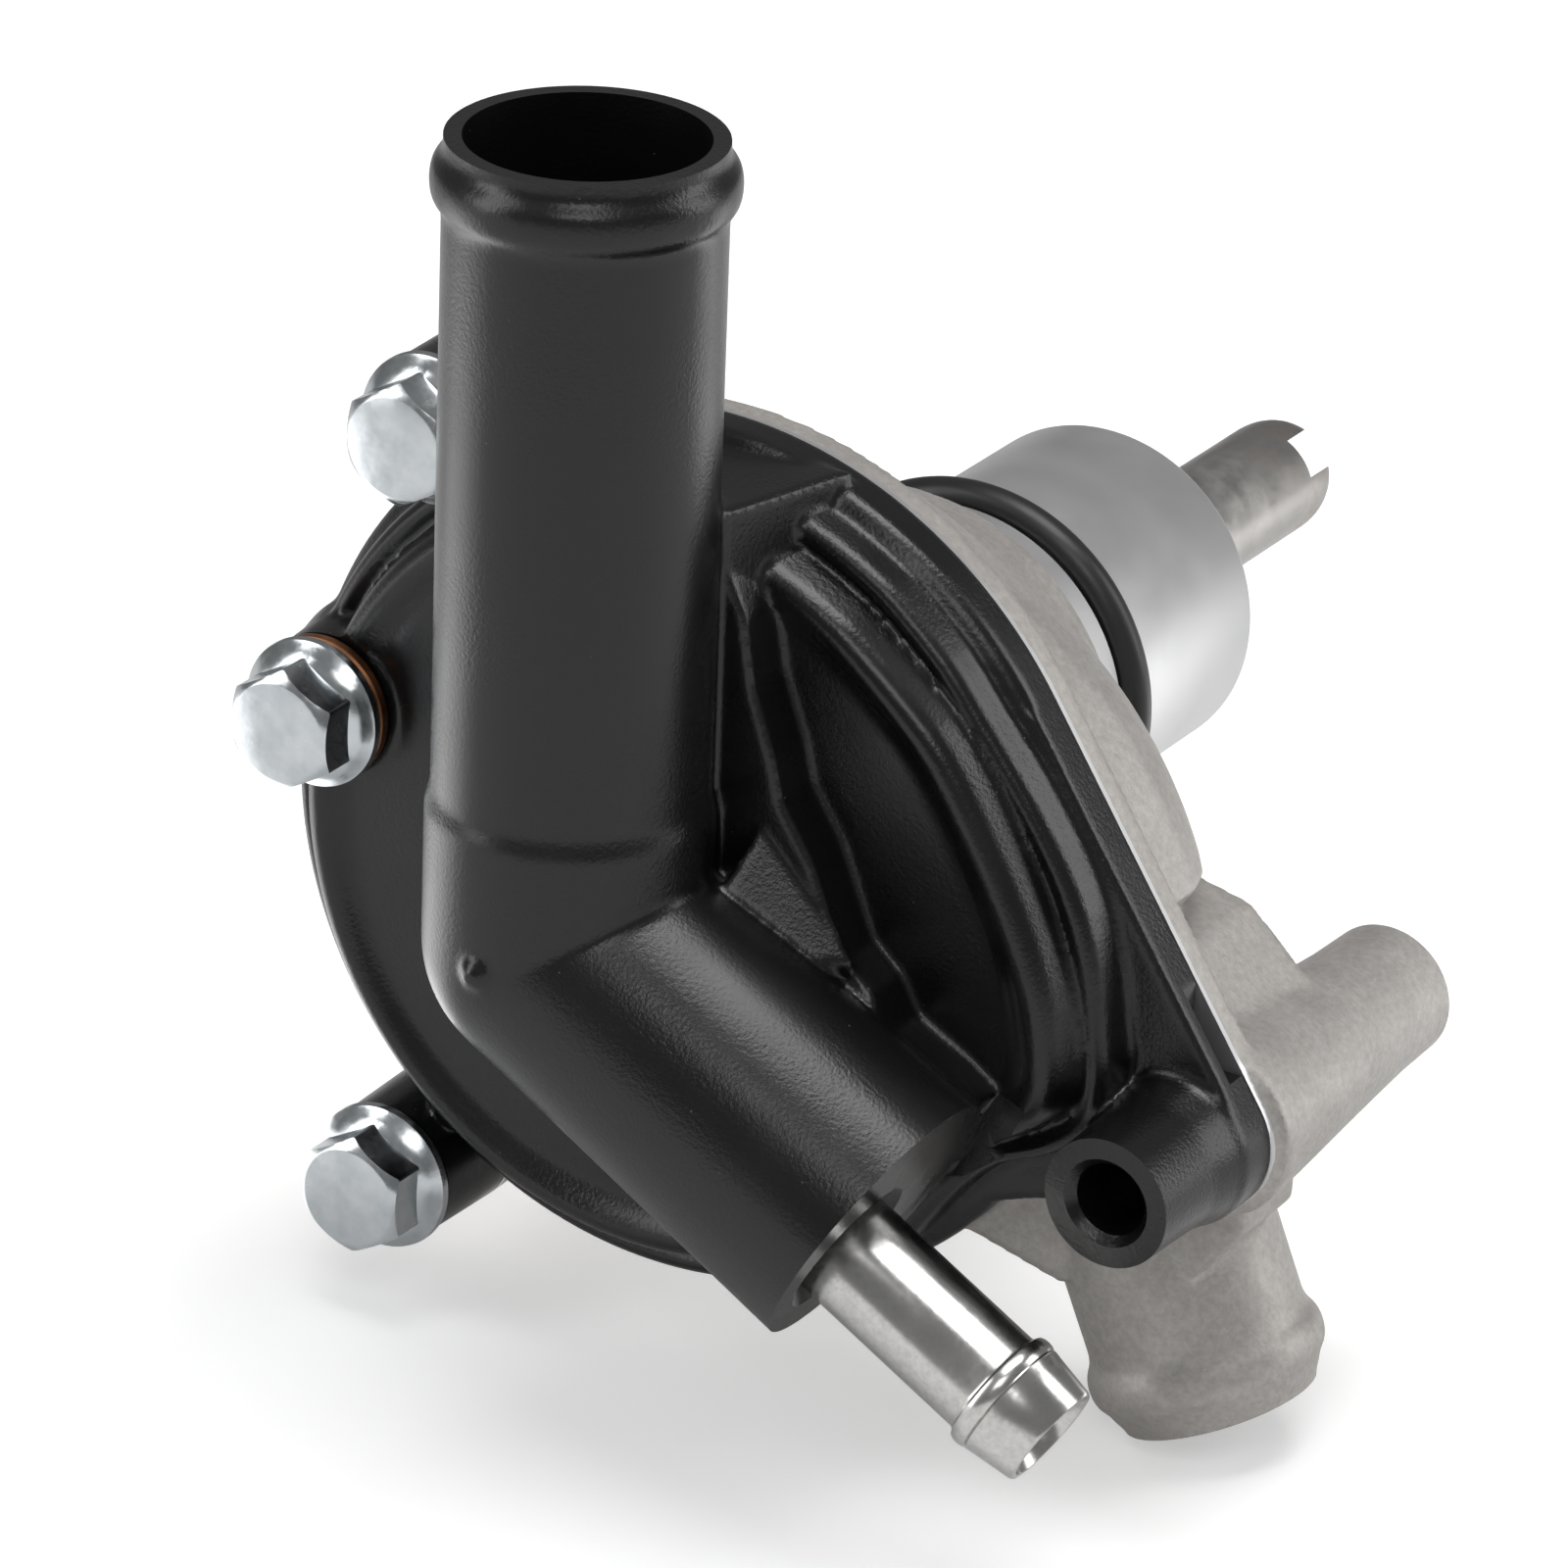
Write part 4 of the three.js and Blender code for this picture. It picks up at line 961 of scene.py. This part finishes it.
def makeRing():
    # O-ring on the snout
    r = snoutRing
    bpy.ops.object.select_all(action="DESELECT")
    bpy.ops.mesh.primitive_torus_add(major_segments=192, minor_segments=32, major_radius=r["radius"] * mm,
                                     minor_radius=r["section"] / 2 * mm, location=(0, r["y"] * mm, 0),
                                     rotation=(math.pi / 2, 0, 0))
    ring = bpy.context.object
    ring.name = "snout_o_ring_piece"
    settle(ring)
    # moulding seam round the outside, as a fine raised line
    startEdit(ring, "EDGE")
    bpy.ops.mesh.select_all(action="DESELECT")
    endEdit()
    outer = max(math.hypot(v.co.x, v.co.z) for v in ring.data.vertices)
    for edge in ring.data.edges:
        ends = [ring.data.vertices[i].co for i in edge.vertices]
        edge.select = all(math.hypot(end.x, end.z) > outer - 0.00002 for end in ends)
    startEdit(ring, "EDGE")
    bpy.ops.mesh.bevel(offset=r["seam"] * mm, segments=1)
    endEdit()
    return ring


ringPiece = makeRing()
wear(ringPiece, rubber)
finishPiece(ringPiece, "pump_body", "snout_o_ring", 60)


shaft = {
    "end": 71.5, "drive": 5.6, "journal": 5.0, "slotWidth": 4.2, "slotDepth": 6.0, "slotTurn": 42.0,
    "domeFrom": 66.8, "domeArc": 62,
}


def makeShaft():
    s = shaft
    low, arc = s["domeFrom"], math.radians(s["domeArc"])
    dome = [(s["drive"], low)]
    for i in range(1, 8):
        turn = i / 7 * arc
        dome.append((s["drive"] - 3.4 * (1 - math.cos(turn)),
                     low + (s["end"] - low) * math.sin(turn) / math.sin(arc)))
    body = turned("shaft_piece", [
        (2.5, -42.5), (3, -42.0), (3, -35.61), (4, -35.6), (4, -28.61), (s["journal"], -28.6),
        (s["journal"], 32.29), (5.3, 32.3), (s["drive"], 32.6)] + dome, 96)
    slotTool = block("slot", (-12, s["end"] - s["slotDepth"], -s["slotWidth"] / 2),
                     (12, s["end"] + 6, s["slotWidth"] / 2), -s["slotTurn"])
    cutAway(body, slotTool)
    return body


shaftPiece = makeShaft()
wear(shaftPiece, shaftSteel)
finishPiece(shaftPiece, "rotor", "shaft")


# ball bearing, seen in the end of the snout
bearing = {
    "y": 24.0, "width": 8.0, "outer": 12.9, "inner": 5.3, "pitch": 9.0, "ball": 2.3, "balls": 7, "gap": 0.15,
    "edge": 0.3, "raceTurn": 0.9,
}


def raceArc(side):
    reach = bearing["ball"] + bearing["gap"]
    middle = bearing["y"] + bearing["width"] / 2
    turns = [bearing["raceTurn"] * k / 6 for k in range(-6, 7)]
    return [(bearing["pitch"] + side * reach * math.cos(turn), middle + reach * math.sin(turn))
            for turn in turns]


def makeBearing():
    b = bearing
    low, high = b["y"], b["y"] + b["width"]
    reach = (b["ball"] + b["gap"]) * math.cos(b["raceTurn"])
    inside, outside = b["pitch"] + reach, b["pitch"] - reach
    edge, bore = b["edge"], b["inner"]
    outerRace = turned("bearing_outer_race_piece", [
        (inside, low), (b["outer"] - edge, low), (b["outer"], low + edge), (b["outer"], high - edge),
        (b["outer"] - edge, high), (inside, high)] + raceArc(1)[::-1] + [(inside, low)], 128)
    wear(outerRace, brightSteel)
    finishPiece(outerRace, "pump_body", "bearing_outer_race")
    innerRace = turned("bearing_inner_race_piece", [
        (bore, low), (outside, low)] + raceArc(-1) + [
        (outside, high), (bore + edge, high), (bore, high - edge), (bore, low)], 128)
    wear(innerRace, brightSteel)
    finishPiece(innerRace, "rotor", "bearing_inner_race")
    middle = (low + high) / 2
    for i in range(b["balls"]):
        x, z = polar(b["pitch"], i * 360 / b["balls"])
        node = f"bearing_ball_{i + 1}"
        piece = ball(node + "_piece", (x, middle, z), b["ball"], 16)
        wear(piece, brightSteel)
        finishPiece(piece, "ball_cage", node)


makeBearing()
print("small pieces done")


# the other nodes carry over and only get their finish
finishes = {
    "housing": castAlloy, "shaft": shaftSteel, "bypass_nipple": brightSteel,
    "cover_bolt_upper": zincPlate, "cover_bolt_lower": zincPlate, "drain_bolt": markedZinc,
    "drain_washer": brownCopper, "cover_o_ring": rubber, "snout_o_ring": rubber,
    "dowel_upper": shaftSteel, "dowel_lower": shaftSteel, "impeller": shaftSteel, "impeller_nut": zincPlate,
    "seal_seat_cup": rubber, "seal_seat": ceramic, "seal_carbon_ring": carbon, "seal_bellows": rubber,
    "seal_case": bronze, "seal_spring": brightSteel, "shaft_bush": bronze, "oil_seal": rubber,
    "bearing_outer_race": brightSteel, "bearing_inner_race": brightSteel, "bearing_cage": bronze,
    "bearing_circlip": shaftSteel,
}
for nodeName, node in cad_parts.items():
    for materialSlot in node.material_slots:
        materialSlot.material = finishes.get(nodeName, brightSteel)
print("finishes given")


# the camera's place and its own axes: right, up and back towards the viewer
view = {
    "place": (0.3664, -0.63182, 0.33105), "lens": 202.5, "right": (0.8484, 0.5282, 0.034),
    "up": (-0.2488, 0.3413, 0.9064), "back": (0.4672, -0.7775, 0.421),
}


def makeCamera():
    data = bpy.data.cameras.new("camera")
    data.lens = view["lens"]
    data.sensor_width = 36
    data.clip_start = 0.05
    data.clip_end = 20
    camera = bpy.data.objects.new("camera", data)
    bpy.context.scene.collection.objects.link(camera)
    turn = Matrix([Vector(view[axis]) for axis in ("right", "up", "back")]).transposed().to_4x4()
    camera.matrix_world = Matrix.Translation(Vector(view["place"])) @ turn
    bpy.context.scene.camera = camera


# each strip: its direction on the floor, where it is full and where it starts, its strength
# each lamp: place, aim, size and power
stage = {
    "floorSize": 6, "veil": 0.16, "glow": 2.5,
    "leftStrip": ((-0.9, -0.435, 0), 0.99, 0.93, 0.75), "backStrip": ((0.6, 0.8, 0), 0.99, 0.95, 0.5),
    "lamps": {
        "keyLeft": ((-0.8, -0.85, 0.5), (0, 0, 0.02), (0.5, 1.1), 5.5),
        "fillRight": ((0.85, 0.55, 0.4), (0, 0, 0.02), (0.45, 0.9), 4.0),
        "frontHigh": ((0.42, -0.78, 0.72), (0, 0, 0), (0.5, 0.35), 1.8),
        "topSoft": ((0.15, -0.05, 1.1), (0, 0, 0), (0.8, 0.6), 8.5),
    },
}


def makeFloor():
    low, high = cadBox
    bpy.ops.object.select_all(action="DESELECT")
    bpy.ops.mesh.primitive_plane_add(size=stage["floorSize"], location=(0, 0, low[2] - 0.0005))
    floor = bpy.context.object
    floor.name = "floor"
    material, tree, shader = newMaterial("paleFloor", (0.8, 0.8, 0.8), 0.9)
    # white to the camera; its soft strips of light only show as highlights on the pump
    seen = tree.nodes.new("ShaderNodeLightPath")
    place = tree.nodes.new("ShaderNodeTexCoord")
    level = tree.nodes.new("ShaderNodeVectorMath")
    level.operation = "MULTIPLY"
    level.inputs[1].default_value = (1, 1, 0)
    tree.links.new(place.outputs["Object"], level.inputs[0])
    outward = tree.nodes.new("ShaderNodeVectorMath")
    outward.operation = "NORMALIZE"
    tree.links.new(level.outputs["Vector"], outward.inputs[0])
    reach = tree.nodes.new("ShaderNodeVectorMath")
    reach.operation = "LENGTH"
    tree.links.new(level.outputs["Vector"], reach.inputs[0])
    fade = rangeNode(tree, reach.outputs["Value"], 0.25, 0.5, 1.0, 0.0)

    def strip(direction, narrow, wide, strength):
        facing = tree.nodes.new("ShaderNodeVectorMath")
        facing.operation = "DOT_PRODUCT"
        facing.inputs[1].default_value = direction
        tree.links.new(outward.outputs["Vector"], facing.inputs[0])
        mask = rangeNode(tree, facing.outputs["Value"], wide, narrow, 0.0, strength)
        return mathNode(tree, "MULTIPLY", mask, fade)

    strips = mathNode(tree, "ADD", strip(*stage["leftStrip"]), strip(*stage["backStrip"]))
    hidden = mathNode(tree, "SUBTRACT", 1.0, seen.outputs["Is Camera Ray"])
    shine = mathNode(tree, "MULTIPLY", strips, hidden)
    veil = mathNode(tree, "MULTIPLY", seen.outputs["Is Camera Ray"], stage["veil"])
    glow = mixColours(tree, mathNode(tree, "ADD", shine, veil), (0, 0, 0), (1, 1, 1))
    tree.links.new(glow, shader.inputs["Emission Color"])
    shader.inputs["Emission Strength"].default_value = stage["glow"]
    floor.data.materials.append(material)


def areaLight(name, place, aim, size, power):
    data = bpy.data.lights.new(name, "AREA")
    data.shape = "RECTANGLE"
    data.size, data.size_y = size
    data.energy = power
    light = bpy.data.objects.new(name, data)
    bpy.context.scene.collection.objects.link(light)
    light.location = place
    light.rotation_mode = "QUATERNION"
    light.rotation_quaternion = (Vector(place) - Vector(aim)).to_track_quat("Z", "Y")


def makeLight():
    world = bpy.data.worlds.new("studio")
    world.use_nodes = True
    tree = world.node_tree
    background = tree.nodes["Background"]
    background.inputs["Color"].default_value = (1, 1, 1, 1)
    seen = tree.nodes.new("ShaderNodeLightPath")
    strength = mathNode(tree, "MULTIPLY_ADD", seen.outputs["Is Camera Ray"], 0.8, 0.2)
    tree.links.new(strength, background.inputs["Strength"])
    bpy.context.scene.world = world
    for name, settings in stage["lamps"].items():
        areaLight(name, *settings)
    bpy.context.scene.view_settings.view_transform = "Standard"


makeCamera()
makeFloor()
makeLight()
print("camera and light set")
